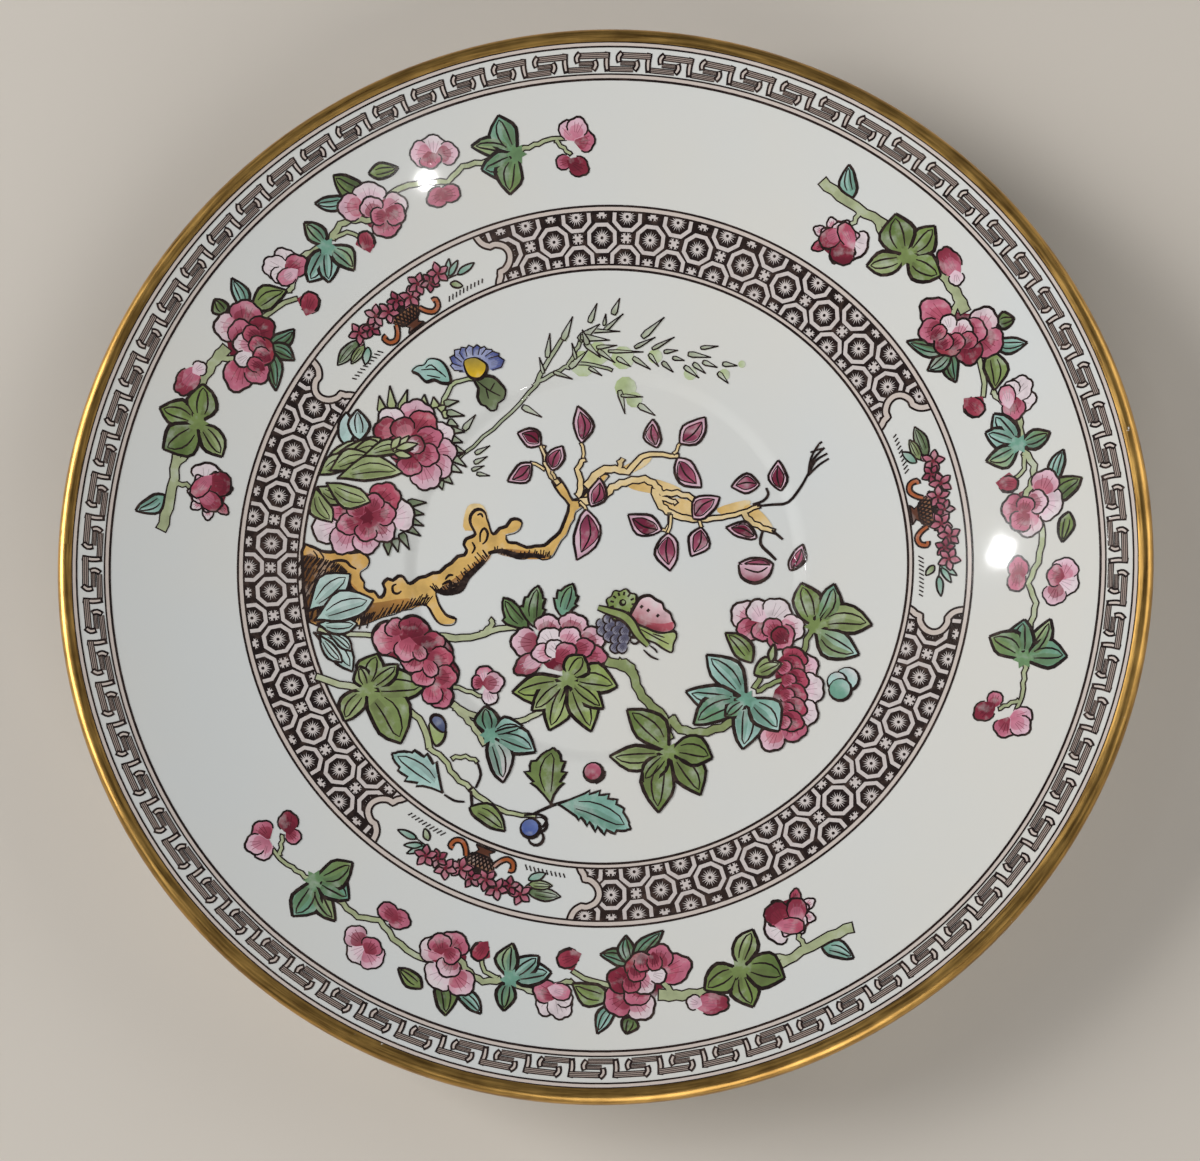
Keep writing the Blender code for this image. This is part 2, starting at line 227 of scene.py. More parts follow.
class Nodes:
    """A small helper that adds nodes to a material or a group and joins them."""

    def __init__(self, tree):
        self.tree = tree

    def join(self, source, target):
        self.tree.links.new(source, target)

    def feed(self, value, target):
        """Gives an input a value of its own, or joins it to the socket that the value comes from."""
        if isinstance(value, bpy.types.NodeSocket):
            self.join(value, target)
        else:
            target.default_value = (*value, 1) if target.type == "RGBA" else value

    def new(self, kind, **values):
        """A new node with these values or sockets on its inputs. In their names _ stands for a space."""
        node = self.tree.nodes.new("ShaderNode" + kind)
        for name, value in values.items():
            self.feed(value, node.inputs[name.replace("_", " ")])
        return node

    def group(self, tree, **values):
        """Sets down one of the shared groups."""
        node = self.new("Group")
        node.node_tree = tree
        for name, value in values.items():
            self.feed(value, node.inputs[name.replace("_", " ")])
        return node

    def place(self):
        return self.new("TexCoord").outputs["Object"]

    def drawn_tone(self):
        """The colour that a drawing gave to each corner of its film."""
        node = self.new("Attribute")
        node.attribute_name = "paint"
        return node.outputs["Color"]

    def noise(self, place, scale, detail=3.0, roughness=0.5, distortion=0.0):
        look = {"Scale": scale, "Detail": detail, "Roughness": roughness, "Distortion": distortion}
        return self.new("TexNoise", Vector=place, **look).outputs["Fac"]

    def span(self, value, low, high, to_low=0.0, to_high=1.0):
        """Maps the range low..high of a value to another range, and stops at its ends."""
        node = self.new("MapRange", Value=value, From_Min=low, From_Max=high, To_Min=to_low, To_Max=to_high)
        return node.outputs["Result"]

    def maths(self, operation, *values):
        node = self.new("Math")
        node.operation = operation
        for socket, value in zip(node.inputs, values):
            self.feed(value, socket)
        return node.outputs["Value"]

    def mix(self, factor, first, second):
        """Mixes two colours, each a socket or three values."""
        node = self.new("Mix")
        node.data_type = "RGBA"
        for index, value in ((0, factor), (6, first), (7, second)):
            self.feed(value, node.inputs[index])
        return node.outputs[2]


def shader_group(name, inputs, outputs):
    """An empty shader node group with named sockets, and the helper, inputs and outputs to fill it with."""
    tree = bpy.data.node_groups.new(name, "ShaderNodeTree")
    for label, kind, value in inputs:
        socket = tree.interface.new_socket(name=label, in_out="INPUT", socket_type=kind)
        socket.default_value = (*value, 1) if isinstance(value, tuple) else value
    for label, kind in outputs:
        tree.interface.new_socket(name=label, in_out="OUTPUT", socket_type=kind)
    return Nodes(tree), tree.nodes.new("NodeGroupInput").outputs, tree.nodes.new("NodeGroupOutput").inputs


def new_material(name, roughness, metallic=0.0, coat=0.0):
    """A Principled material, with its node helper and its shader."""
    material = bpy.data.materials.new(name)
    material.use_nodes = True
    nodes = Nodes(material.node_tree)
    shader = material.node_tree.nodes["Principled BSDF"]
    shader.inputs["Roughness"].default_value = roughness
    shader.inputs["Metallic"].default_value = metallic
    shader.inputs["Coat Weight"].default_value = coat
    return material, nodes, shader


def add_bump(nodes, shader, height, distance):
    bump = nodes.new("Bump", Height=height, Distance=distance, Strength=1)
    nodes.join(bump.outputs["Normal"], shader.inputs["Normal"])


def bare_clay():
    """Unglazed bone china: chalky, a little grey where it has stood on tables."""
    material, nodes, shader = new_material("bare_bone_china", 0.62)
    place = nodes.place()
    grime = nodes.span(nodes.noise(place, 420, 4), 0.45, 0.75)
    nodes.join(nodes.mix(grime, tint(232, 226, 214), tint(176, 164, 146)), shader.inputs["Base Color"])
    add_bump(nodes, shader, nodes.noise(place, 2600, 2), 0.02 * MM)
    return material


covered = face_outline() + lip_outline() + underside_outline()
clay = turned("clay_body", covered + foot_outline() + recess_outline())
set_down(clay, bare_clay(), ["china_body"], "bone_china_clay")

# --- Clear glaze ---
# A glassy coat poured over the biscuit and fired, which makes the clay look a slightly warm grey-white. It covers the
# face, the lip and the underside in one piece, and the recess inside the foot ring in another.
GLAZE_THICKNESS = 0.25 * MM
BARE_FOOT_HEIGHT = 0.9 * MM
GLAZE_GREY = tint(211, 213, 210)
GLAZE_WARM = tint(215, 213, 205)
SPECK_BROWN = tint(122, 104, 86)


def offset_outline(points, distance):
    """The outline moved out from the clay, square to itself. A point on the axis stays on it."""
    moved = []
    last = len(points) - 1
    for index, (radius, height) in enumerate(points):
        before = points[max(index - 1, 0)]
        after = points[min(index + 1, last)]
        along = (after[0] - before[0], after[1] - before[1])
        length = math.hypot(*along)
        out = 0.0 if radius == 0 else -along[1] / length * distance
        moved.append((radius + out, height + along[0] / length * distance))
    return moved


def fired_gloss_group():
    """What a fired, much washed surface does to its gloss: a faint ripple, fine scratches and dull patches."""
    nodes, taken, given = shader_group(
        "fired_gloss",
        [("Gloss Roughness", "NodeSocketFloat", 0.08), ("Wear", "NodeSocketFloat", 1.0)],
        [("Roughness", "NodeSocketFloat"), ("Height", "NodeSocketFloat")],
    )
    place = nodes.place()
    stretched = nodes.new("Mapping", Vector=place, Rotation=(0, 0, 0.6), Scale=(1, 14, 1))
    scratches = nodes.span(nodes.noise(stretched.outputs["Vector"], 260, 5, 0.6, 0.4), 0.62, 0.72)
    dull = nodes.span(nodes.noise(place, 70, 3), 0.4, 0.8)
    marks = nodes.maths("ADD", nodes.maths("MULTIPLY", scratches, 0.05), nodes.maths("MULTIPLY", dull, 0.05))
    wear = nodes.maths("MULTIPLY", marks, taken["Wear"])
    nodes.join(nodes.maths("ADD", taken["Gloss Roughness"], wear), given["Roughness"])
    nodes.join(nodes.noise(place, 110, 2, 0.4), given["Height"])
    return nodes.tree


fired_gloss = fired_gloss_group()


def add_fired_gloss(nodes, shader, roughness, wear=1.0, ripple=0.012 * MM):
    """Puts the shared gloss into a material."""
    group = nodes.group(fired_gloss, Gloss_Roughness=roughness, Wear=wear)
    nodes.join(group.outputs["Roughness"], shader.inputs["Roughness"])
    add_bump(nodes, shader, group.outputs["Height"], ripple)


def glaze_material():
    material, nodes, shader = new_material("clear_glaze_on_china", 0.05, coat=0.1)
    place = nodes.place()
    cloud = nodes.span(nodes.noise(place, 26, 3), 0.35, 0.7)
    china = nodes.mix(cloud, GLAZE_GREY, GLAZE_WARM)
    cells = nodes.new("TexVoronoi", Vector=place, Scale=110)
    speck = nodes.span(cells.outputs["Distance"], 0.012, 0.03, 1.0, 0.0)
    rare = nodes.span(nodes.noise(place, 90, 1), 0.56, 0.6)
    nodes.join(nodes.mix(nodes.maths("MULTIPLY", speck, rare), china, SPECK_BROWN), shader.inputs["Base Color"])
    add_fired_gloss(nodes, shader, 0.04, wear=0.5)
    return material


china_glaze = glaze_material()
glazed = covered + [(FOOT_OUTER, BARE_FOOT_HEIGHT)]
coat = offset_outline(glazed, COAT - GLAZE_THICKNESS) + offset_outline(glazed, COAT)[::-1]
set_down(turned("face_and_rim_glaze", coat), china_glaze, ["clear_glaze_coat"], "clear_glaze")
recess = [(FOOT_INNER, BARE_FOOT_HEIGHT)] + recess_outline()
coat = offset_outline(recess, COAT - GLAZE_THICKNESS)[::-1] + offset_outline(recess, COAT)
set_down(turned("foot_recess_glaze_coat", coat), china_glaze, ["foot_recess_glaze"], "clear_glaze")

# --- Gold line ---
# Liquid gold brushed round the lip on a turntable, fired and burnished. It is thin and brown in the brush marks, and
# it has rubbed away in small spots.
GOLD_INNER_RADIUS = 70.2 * MM
GOLD_UNDER_LIP = 0.8 * MM
PAINT_THICKNESS = 0.04 * MM
GOLD_BRIGHT = tint(220, 174, 96)
GOLD_BROWN = tint(150, 114, 60)


def round_the_plate(nodes):
    """Coordinates that run round the plate: turns, distance from the axis and height, for marks left by turning."""
    place = nodes.place()
    turns = nodes.new("TexGradient", Vector=place)
    turns.gradient_type = "RADIAL"
    x, y, z = nodes.new("SeparateXYZ", Vector=place).outputs
    radius = nodes.maths("SQRT", nodes.maths("ADD", nodes.maths("POWER", x, 2), nodes.maths("POWER", y, 2)))
    slow = nodes.maths("MULTIPLY", turns.outputs["Fac"], 0.02)
    return nodes.new("CombineXYZ", X=slow, Y=radius, Z=z).outputs["Vector"]


def gold_material():
    material, nodes, shader = new_material("burnished_liquid_gold", 0.25, metallic=1.0)
    streaks = nodes.noise(round_the_plate(nodes), 2600, 5, 0.6)
    patches = nodes.noise(nodes.place(), 240, 3)
    tone = nodes.span(nodes.maths("ADD", streaks, nodes.maths("MULTIPLY", patches, 0.6)), 0.62, 1.0)
    gold = nodes.mix(tone, GOLD_BROWN, GOLD_BRIGHT)
    rubbed = nodes.span(nodes.noise(nodes.place(), 520, 6, 0.65), 0.70, 0.74)
    nodes.join(nodes.mix(rubbed, gold, GLAZE_WARM), shader.inputs["Base Color"])
    nodes.join(nodes.maths("SUBTRACT", 1.0, rubbed), shader.inputs["Metallic"])
    nodes.join(nodes.span(streaks, 0.3, 0.8, 0.26, 0.44), shader.inputs["Roughness"])
    add_bump(nodes, shader, streaks, 0.01 * MM)
    return material


gilded = [(radius, face_height(radius)) for radius in between(GOLD_INNER_RADIUS, LIP_START, 2)] + lip_outline()
gilded += [(radius, under_height(radius)) for radius in between(LIP_START, LIP_START - GOLD_UNDER_LIP, 3)]
film = offset_outline(gilded, COAT - PAINT_THICKNESS) + offset_outline(gilded, COAT + PAINT_THICKNESS)[::-1]
set_down(turned("gold_line", film), gold_material(), ["gilt_edge_band"], "burnished_gold")

# --- Key border ---
# A fret printed round the rim in brown ink from an engraved copper plate, between ruled lines, with a cream tint
# under the outer lines. Like all the decoration it is a film of colour melted onto the glaze.
FILM_BASE = 0.02 * MM
TINT_LIFT = 0.02 * MM
PRINT_LIFT = 0.04 * MM
INK = (28, 16, 13)
FRET_BROWN = (168, 152, 142)
CREAM = (203, 190, 180)
KEY_UNITS = 75
KEY_INNER = 66.2
KEY_HEIGHT = 2.5
KEY_TURN = math.radians(-1.1)
# How finely a drawing is cut, in millimetres: points this near are one, and films bend at least this often at the step.
SAME_POINT = 1e-5
STEP_MARGIN = 0.5
STEP_EDGE = 0.55


def along_curve(points, steps=4, closed=False):
    """A smooth route through the points, with this many steps between one and the next."""
    count = len(points)
    spots = [Vector(point) for point in points]
    route = []
    for index in range(count if closed else count - 1):
        if closed:
            four = [spots[(index + offset) % count] for offset in (-1, 0, 1, 2)]
        else:
            four = [spots[min(max(index + offset, 0), count - 1)] for offset in (-1, 0, 1, 2)]
        before, start, end, after = four
        for step in range(steps):
            part = step / steps
            pull = (end - before) * part + (2 * before - 5 * start + 4 * end - after) * part ** 2
            pull += (3 * start - before - 3 * end + after) * part ** 3
            route.append(start + pull / 2)
    return route if closed else route + [spots[-1]]


def signed_area(points):
    pairs = zip(points, points[1:] + points[:1])
    return sum(a[0] * b[1] - b[0] * a[1] for a, b in pairs) / 2


def hull(points):
    """The corners of the smallest convex outline round the points, counterclockwise, as places in the list."""
    order = sorted(range(len(points)), key=lambda place: (points[place][0], points[place][1]))
    ring = []
    for walk in (order, order[::-1]):
        start = len(ring)
        for place in walk:
            while len(ring) >= start + 2:
                first, second = points[ring[-2]], points[ring[-1]]
                if signed_area([first, second, points[place]]) > 1e-7:
                    break
                ring.pop()
            ring.append(place)
        ring.pop()
    return ring


class Drawing:
    """Decoration in plan, in millimetres. What is painted later covers what was painted before it."""

    def __init__(self, pen=1.0):
        self.pen = pen
        self.points = []
        self.faces = []
        self.tones = []

    def cover(self, points, faces, paint, near, far, start, end):
        first = len(self.points)
        self.points += [Vector((point[0], point[1])) for point in points]
        for face in faces:
            self.faces.append([first + corner for corner in face])
            self.tones.append((paint, tint(*near), tint(*(far or near)), Vector(start), Vector(end)))

    def patch(self, outline, paint, near, far=None, start=(0, 0), end=(1, 0)):
        """A flat shape that shades from the near colour at its start to the far colour at its end."""
        corners = list(range(len(outline)))
        if signed_area(outline) < 0:
            corners.reverse()
        self.cover(outline, [corners], paint, near, far, start, end)

    def stroke(self, route, width, colour=INK, paint="ink", closed=False, swell=0.45, to_width=None):
        """A line drawn along the route. An open one is thin at its ends and swells to the full width between them."""
        to_width = width if to_width is None else to_width
        if paint == "ink":
            width, to_width = width * self.pen, to_width * self.pen
        route = [Vector(point) for point in route]
        count = len(route)
        sides = []
        for index, point in enumerate(route):
            before = route[index - 1] if closed or index else point
            after = route[(index + 1) % count] if closed or index < count - 1 else point
            along = after - before
            if along.length < 1e-6:
                along = Vector((1, 0))
            across = Vector((-along.y, along.x)).normalized()
            if closed:
                half = width / 2 * (1 + swell * across.dot(Vector((-0.6, 0.8))))
            else:
                part = index / (count - 1)
                half = (width + (to_width - width) * part) / 2 * (1 - swell + swell * math.sin(math.pi * part))
            sides += [point + across * half, point - across * half]
        faces = []
        for index in range(count if closed else count - 1):
            following = (index + 1) % count
            corners = [2 * index, 2 * index + 1, 2 * following + 1, 2 * following]
            ring = hull([sides[corner] for corner in corners])
            if len(ring) > 2:
                faces.append([corners[place] for place in ring])
        self.cover(sides, faces, paint, colour, None, (0, 0), (1, 0))


def flattened(drawing, only_within_first=False):
    """The drawing as one flat mesh, each face marked with the tone that shows there. Bare places are left out."""
    points, _, faces, _, _, sources = delaunay_2d_cdt(drawing.points, [], drawing.faces, 1, SAME_POINT, True)
    shape = bmesh.new()
    mark = shape.faces.layers.int.new("tone")
    corners = [shape.verts.new((point.x, point.y, 0)) for point in points]
    for face, source in zip(faces, sources):
        top = max(source, default=None)
        if top is None or drawing.tones[top][0] == "bare" or (only_within_first and 0 not in source):
            continue
        shape.faces.new([corners[corner] for corner in face])[mark] = top
    return shape


def follow_well_step(shape):
    """Cuts long edges where they cross the step of the well, so that the film can bend with it."""
    step_inner = WELL_RADIUS / MM - STEP_MARGIN
    step_outer = SHOULDER_RADIUS / MM + STEP_MARGIN
    for _ in range(4):
        long_edges = []
        for edge in shape.edges:
            middle = (edge.verts[0].co + edge.verts[1].co) / 2
            if step_inner < middle.length < step_outer and edge.calc_length() > STEP_EDGE:
                long_edges.append(edge)
        if not long_edges:
            return
        bmesh.ops.subdivide_edges(shape, edges=long_edges, cuts=1)
        bmesh.ops.triangulate(shape, faces=[face for face in shape.faces if len(face.verts) > 3])


def laid_on_glaze(drawing, lift, only_within_first=False):
    """The drawing as thin closed films on the face of the plate: one mesh for each paint, in metres."""
    plan = flattened(drawing, only_within_first)
    follow_well_step(plan)
    plan.verts.index_update()
    mark = plan.faces.layers.int["tone"]
    films = {}
    for face in plan.faces:
        films.setdefault(drawing.tones[face[mark]][0], []).append(face)
    made = {}
    for paint, faces in films.items():
        shape = bmesh.new()
        colour = shape.loops.layers.float_color.new("paint")
        corners = {}
        for face in faces:
            _, near, far, start, end = drawing.tones[face[mark]]
            for vert in face.verts:
                if vert.index not in corners:
                    radius = vert.co.length * MM
                    height = over_clay(radius, COAT - FILM_BASE)
                    corners[vert.index] = shape.verts.new((vert.co.x * MM, vert.co.y * MM, height))
            copy = shape.faces.new([corners[vert.index] for vert in face.verts])
            axis = end - start
            for loop, vert in zip(copy.loops, face.verts):
                part = (Vector((vert.co.x, vert.co.y)) - start).dot(axis) / axis.length_squared
                part = min(max(part, 0), 1)
                mixed = [a + (b - a) * part for a, b in zip(near, far)]
                loop[colour] = (*mixed, 1)
        base = shape.faces[:]
        top = bmesh.ops.extrude_face_region(shape, geom=base, use_keep_orig=True)["geom"]
        raised = [item for item in top if isinstance(item, bmesh.types.BMVert)]
        bmesh.ops.translate(shape, verts=raised, vec=(0, 0, lift + FILM_BASE))
        bmesh.ops.recalc_face_normals(shape, faces=shape.faces[:])
        made[paint] = shape
    plan.free()
    return made


def ruled_rings(rings, lift):
    """Thin rings of colour on the face, each given by its inner and outer radius in millimetres."""
    shape = bmesh.new()
    for inner, outer in rings:
        radii = [radius * MM for radius in between(inner, outer, 2)]
        outline = [(radius, over_clay(radius, COAT + lift)) for radius in radii]
        outline += [(radius, over_clay(radius, COAT - FILM_BASE)) for radius in radii[::-1]]
        points = [shape.verts.new((radius, 0, height)) for radius, height in outline]
        for first, second in zip(points, points[1:] + points[:1]):
            shape.edges.new((first, second))
    full_turn(shape)
    return shape


def uneven_print_group():
    """How a transfer print takes: the ink thins in places and breaks where the tissue didn't touch."""
    nodes, taken, given = shader_group(
        "uneven_print",
        [("Ink Colour", "NodeSocketColor", (0.02, 0.01, 0.01)), ("Thin Colour", "NodeSocketColor", (0.2, 0.15, 0.1))],
        [("Base Color", "NodeSocketColor")],
    )
    place = nodes.place()
    thin = nodes.span(nodes.noise(place, 900, 4, 0.6), 0.5, 0.75, 0.0, 0.22)
    wide = nodes.span(nodes.noise(place, 60, 2), 0.45, 0.8, 0.0, 0.1)
    fade = nodes.maths("ADD", thin, wide)
    nodes.join(nodes.mix(fade, taken["Ink Colour"], taken["Thin Colour"]), given["Base Color"])
    return nodes.tree


uneven_print = uneven_print_group()


def print_material(name, thin_colour, ink=None):
    """Printed colour under a thin gloss. It takes one ink all over, or else reads the drawing's own tones."""
    material, nodes, shader = new_material(name, 0.12, coat=0.2)
    printed = tint(*ink) if ink else nodes.drawn_tone()
    group = nodes.group(uneven_print, Thin_Colour=tint(*thin_colour), Ink_Colour=printed)
    nodes.join(group.outputs["Base Color"], shader.inputs["Base Color"])
    add_fired_gloss(nodes, shader, 0.12, ripple=0.01 * MM)
    return material


sepia_print = print_material("sepia_transfer_print", (128, 104, 92))
cream_tint = print_material("cream_border_tint", (214, 208, 202), CREAM)
brown_rule = print_material("brown_ruled_line", (120, 96, 84), INK)


def on_key(across, outward):
    """A place in one unit of the fret: 0 to 1 clockwise along the unit, and 0 to 1 from its inner to its outer side."""
    angle = KEY_TURN - across * math.tau / KEY_UNITS
    radius = KEY_INNER + outward * KEY_HEIGHT
    return Vector((radius * math.cos(angle), radius * math.sin(angle)))


def key_unit():
    """One turn of the fret: shaded bars that run round the plate, joined by posts with a light middle."""
    unit = Drawing()
    bars = (((0.0, 0.60), 0.14, 0.72), ((0.28, 0.66), 0.44, 0.62), ((0.30, 1.0), 0.83, 0.80))
    for (start, end), level, width in bars:
        route = [on_key(start, level), on_key((start + end) / 2, level), on_key(end, level)]
        unit.stroke(route, width, FRET_BROWN, swell=0)
        edge = (width / 2 - 0.06) / KEY_HEIGHT
        for shift, line in ((-edge, 0.15), (-edge / 3, 0.11), (edge / 3, 0.11), (edge, 0.15)):
            unit.stroke([on_key(start, level + shift), on_key(end, level + shift)], line, INK, swell=0)
    posts = (
        ((-0.02, 1.0), (-0.05, 0.5), (-0.03, 0.0)),
        ((0.66, 0.60), (0.69, 0.34), (0.62, 0.08)),
        ((0.33, 0.98), (0.24, 0.74), (0.26, 0.46)),
    )
    for post in posts:
        route = along_curve([on_key(*spot) for spot in post], 3)
        unit.stroke(route, 0.86, INK, swell=0.12)
        unit.stroke(route[1:-1], 0.30, CREAM, swell=0.3)
    return unit


fret = laid_on_glaze(key_unit(), PRINT_LIFT)["ink"]
others = {"angle": math.tau * (KEY_UNITS - 1) / KEY_UNITS, "steps": KEY_UNITS - 1, "use_duplicate": True}
unit = fret.verts[:] + fret.edges[:] + fret.faces[:]
bmesh.ops.spin(fret, geom=unit, cent=(0, 0, 0), axis=(0, 0, 1), dvec=(0, 0, 0), **others)
bmesh.ops.recalc_face_normals(fret, faces=fret.faces[:])
set_down(finished("key_fret", fret), sepia_print, ["key_border_print"], "sepia_print")
key_rules = ruled_rings([(65.1, 65.4), (65.8, 66.0), (69.24, 69.46), (69.85, 70.15)], PRINT_LIFT)
set_down(finished("key_ruled_lines", key_rules), brown_rule, ["key_border_print"], "sepia_print")
key_tint = ruled_rings([(65.2, 65.9), (69.3, 70.3)], TINT_LIFT)
set_down(finished("key_cream_stripes", key_tint), cream_tint, ["key_border_print"], "sepia_print")

# --- Diaper band ---
# A printed net of eight-sided cells with a sunburst in each and small four-petalled flowers between them. Three
# reserves break it into three lengths, and ruled lines with a cream stripe run round both its sides.
RESERVE_TURNS = [math.radians(angle) for angle in (129, 9, 249)]
CELL_ROW = 44.75
CELL_PITCH = math.radians(8.42)
CELL_LIGHT = (206, 197, 192)
THIRD_TURN = math.radians(120)


def polar(radius, angle):
    return Vector((radius * math.cos(angle), radius * math.sin(angle)))


def ring_of(centre, radius, count, turn=0.0, inner=None):
    """Points round a centre. With an inner radius they go in and out like a star."""
    points = []
    for index in range(count):
        angle = turn + math.tau * index / count
        reach = radius if inner is None or index % 2 == 0 else inner
        points.append(Vector(centre) + polar(reach, angle))
    return points


def diaper_cell(drawing, centre, turn):
    """An eight-sided frame with a dark eye, and light rays of uneven length round a dot."""
    drawing.patch(ring_of(centre, 2.16, 8, turn + math.pi / 8), "ink", CELL_LIGHT)
    drawing.patch(ring_of(centre, 1.62, 8, turn + math.pi / 8), "ink", INK)
    rays = []
    for index in range(36):
        reach = (1.24, 0.5, 1.05, 0.46)[index % 4]
        rays.append(Vector(centre) + polar(reach, turn + math.tau * index / 36))
    drawing.patch(rays, "ink", CELL_LIGHT)
    drawing.patch(ring_of(centre, 0.23, 7, turn), "ink", INK)


def diaper_flower(drawing, centre, turn):
    """Four light petals parted by dark nicks."""
    drawing.patch(ring_of(centre, 1.0, 16, turn + math.pi / 4, inner=0.66), "ink", CELL_LIGHT)
    for quarter in range(4):
        way = turn + math.pi / 2 * quarter
        drawing.stroke([Vector(centre) + polar(0.36, way), Vector(centre) + polar(1.1, way)], 0.3, swell=0)
        corner = way + math.pi / 4
        drawing.stroke([Vector(centre) + polar(0.6, corner), Vector(centre) + polar(1.2, corner)], 0.2, swell=0)


# One end of a reserve as radius and degrees from its middle: a hollow, a round lobe and a hollow that meet in cusps.
RESERVE_END = (
    ((48.3, 16.9), (47.4, 17.2), (46.8, 17.7), (46.35, 18.5)),
    ((46.35, 18.5), (46.4, 19.4), (45.9, 20.6), (45.2, 21.2), (44.4, 21.3), (43.5, 20.8), (42.8, 19.7), (42.7, 18.7)),
    ((42.7, 18.7), (42.1, 18.5), (41.6, 18.0), (41.0, 17.6)),
)


def reserve_end(side):
    """The middle of the stripe at one end of a reserve round angle 0."""
    route = []
    for part in RESERVE_END:
        places = [polar(radius, side * math.radians(degrees)) for radius, degrees in part]
        route += along_curve(places, 3)[:-1]
    return route + [places[-1]]


def diaper_length():
    """The net between one reserve and the next, going anticlockwise from the reserve round angle 0."""
    net = Drawing()
    inner, outer = 41.25, 48.25
    start, end = math.radians(16), math.radians(104)
    angles = between(start, end, 48)
    ground = [polar(outer, angle) for angle in angles] + [polar(inner, angle) for angle in angles[::-1]]
    net.patch(ground, "ink", INK)
    middle = math.radians(61.2)
    for place in range(-11, 12):
        turn = middle + place * CELL_PITCH / 2
        if place % 2:
            diaper_cell(net, polar(CELL_ROW, turn), turn)
            for radius in (48.0, 41.55):
                diaper_flower(net, polar(radius, turn), turn)
        else:
            diaper_flower(net, polar(CELL_ROW, turn), turn)
            for radius in (47.6, 41.85):
                diaper_cell(net, polar(radius, turn), turn)
    for side, base in ((1, 0.0), (-1, THIRD_TURN)):
        turned_end = Matrix.Rotation(base, 2)
        edge = [turned_end @ point for point in reserve_end(side)]
        beyond = [turned_end @ polar(39, side * math.radians(12)), turned_end @ polar(51, side * math.radians(12))]
        net.patch([edge[0] * 1.02] + edge + [edge[-1] * 0.98] + beyond, "bare", INK)
        net.stroke(edge, 1.2, INK, swell=0)
        net.stroke(edge, 0.62, CREAM, swell=0)
    return net


net_length = laid_on_glaze(diaper_length(), PRINT_LIFT, only_within_first=True)["ink"]
for number, turn in enumerate(RESERVE_TURNS, 1):
    length = net_length.copy()
    # The first reserve's own length lies clockwise of it, so it starts from the reserve before.
    start = Matrix.Rotation(turn - THIRD_TURN, 3, "Z")
    bmesh.ops.rotate(length, verts=length.verts[:], cent=(0, 0, 0), matrix=start)
    set_down(finished(f"diaper_net_{number}", length), sepia_print, [f"diaper_print_{number}"], "sepia_print")
net_length.free()
diaper_nodes = [f"diaper_print_{number}" for number in (1, 2, 3)]
band_rules = ruled_rings([(40.4, 40.72), (41.08, 41.34), (48.1, 48.36), (48.84, 49.12)], PRINT_LIFT)
set_down(finished("band_ruled_lines", band_rules), brown_rule, diaper_nodes, "sepia_print")
band_tint = ruled_rings([(40.55, 41.2), (48.2, 48.95)], TINT_LIFT)
set_down(finished("band_cream_stripes", band_tint), cream_tint, diaper_nodes, "sepia_print")

# --- Reserve ornaments ---
# In each clear reserve stands a small basket with scroll handles, heaped with pink star flowers and leaves. The
# outlines are printed, and the colours are enamels painted into them by hand and fired again at a low heat.
ENAMEL_LIFT = 0.05 * MM
CRIMSON = (134, 42, 60)
DEEP_CRIMSON = (106, 26, 44)
OLIVE = (122, 140, 82)
DEEP_GREEN = (82, 104, 62)
TEAL = (112, 158, 138)


def blend(first, second, part):
    return tuple(a + (b - a) * part for a, b in zip(first, second))


def leaf_plan(base, tip, width, bend, wide_at):
    """The form of a leaf: a place by its part of the length and its distance aside, and half the width there."""
    base, tip = Vector(base), Vector(tip)
    axis = tip - base
    side = Vector((-axis.y, axis.x)).normalized()
    mood = 3.7 * base.x + 2.3 * tip.y
    rise, fall = 1.1 * wide_at / (1 - wide_at), 1.1
    widest = wide_at ** rise * (1 - wide_at) ** fall

    def spot(along, across):
        return base + axis * along + side * (bend * axis.length * math.sin(math.pi * along) + across)

    def half(along, which):
        wave = 0.08 * math.sin(9 * along + mood + 2.2 * which)
        return which * width / 2 * along ** rise * (1 - along) ** fall / widest * (1 + wave)

    return spot, half


def leaf_blade(drawing, base, tip, width, near, far, bend=0, teeth=0, line=0.3, paint="leaf", wide_at=0.45):
    """The colour of a leaf, strayed a little, and the pen outline down both its sides."""
    spot, half = leaf_plan(base, tip, width, bend, wide_at)
    stations = [(along, 1) for along in (0.04, 0.14, 0.27, 0.41, 0.55, 0.69, 0.83, 0.94)]
    if teeth:
        stations = [(0.06, 1), (0.18, 0.95)]
        for tooth in range(teeth):
            start = 0.22 + 0.74 * tooth / teeth
            stations += [(start + 0.36 / teeth, 1), (start + 0.66 / teeth, 1.16), (start + 0.70 / teeth, 0.86)]
    left, right = [[spot(along, half(along, which) * cut) for along, cut in stations] for which in (1, -1)]
    base, tip = Vector(base), Vector(tip)
    stray = polar(0.15, 3.7 * base.x + 2.3 * tip.y)
    drawing.patch([point + stray for point in [base] + left + [tip] + right[::-1]], paint, near, far, base, tip)
    drawing.stroke([base] + left + [tip], line, swell=0.3)
    drawing.stroke([base] + right + [tip], line * 1.2, swell=0.3)


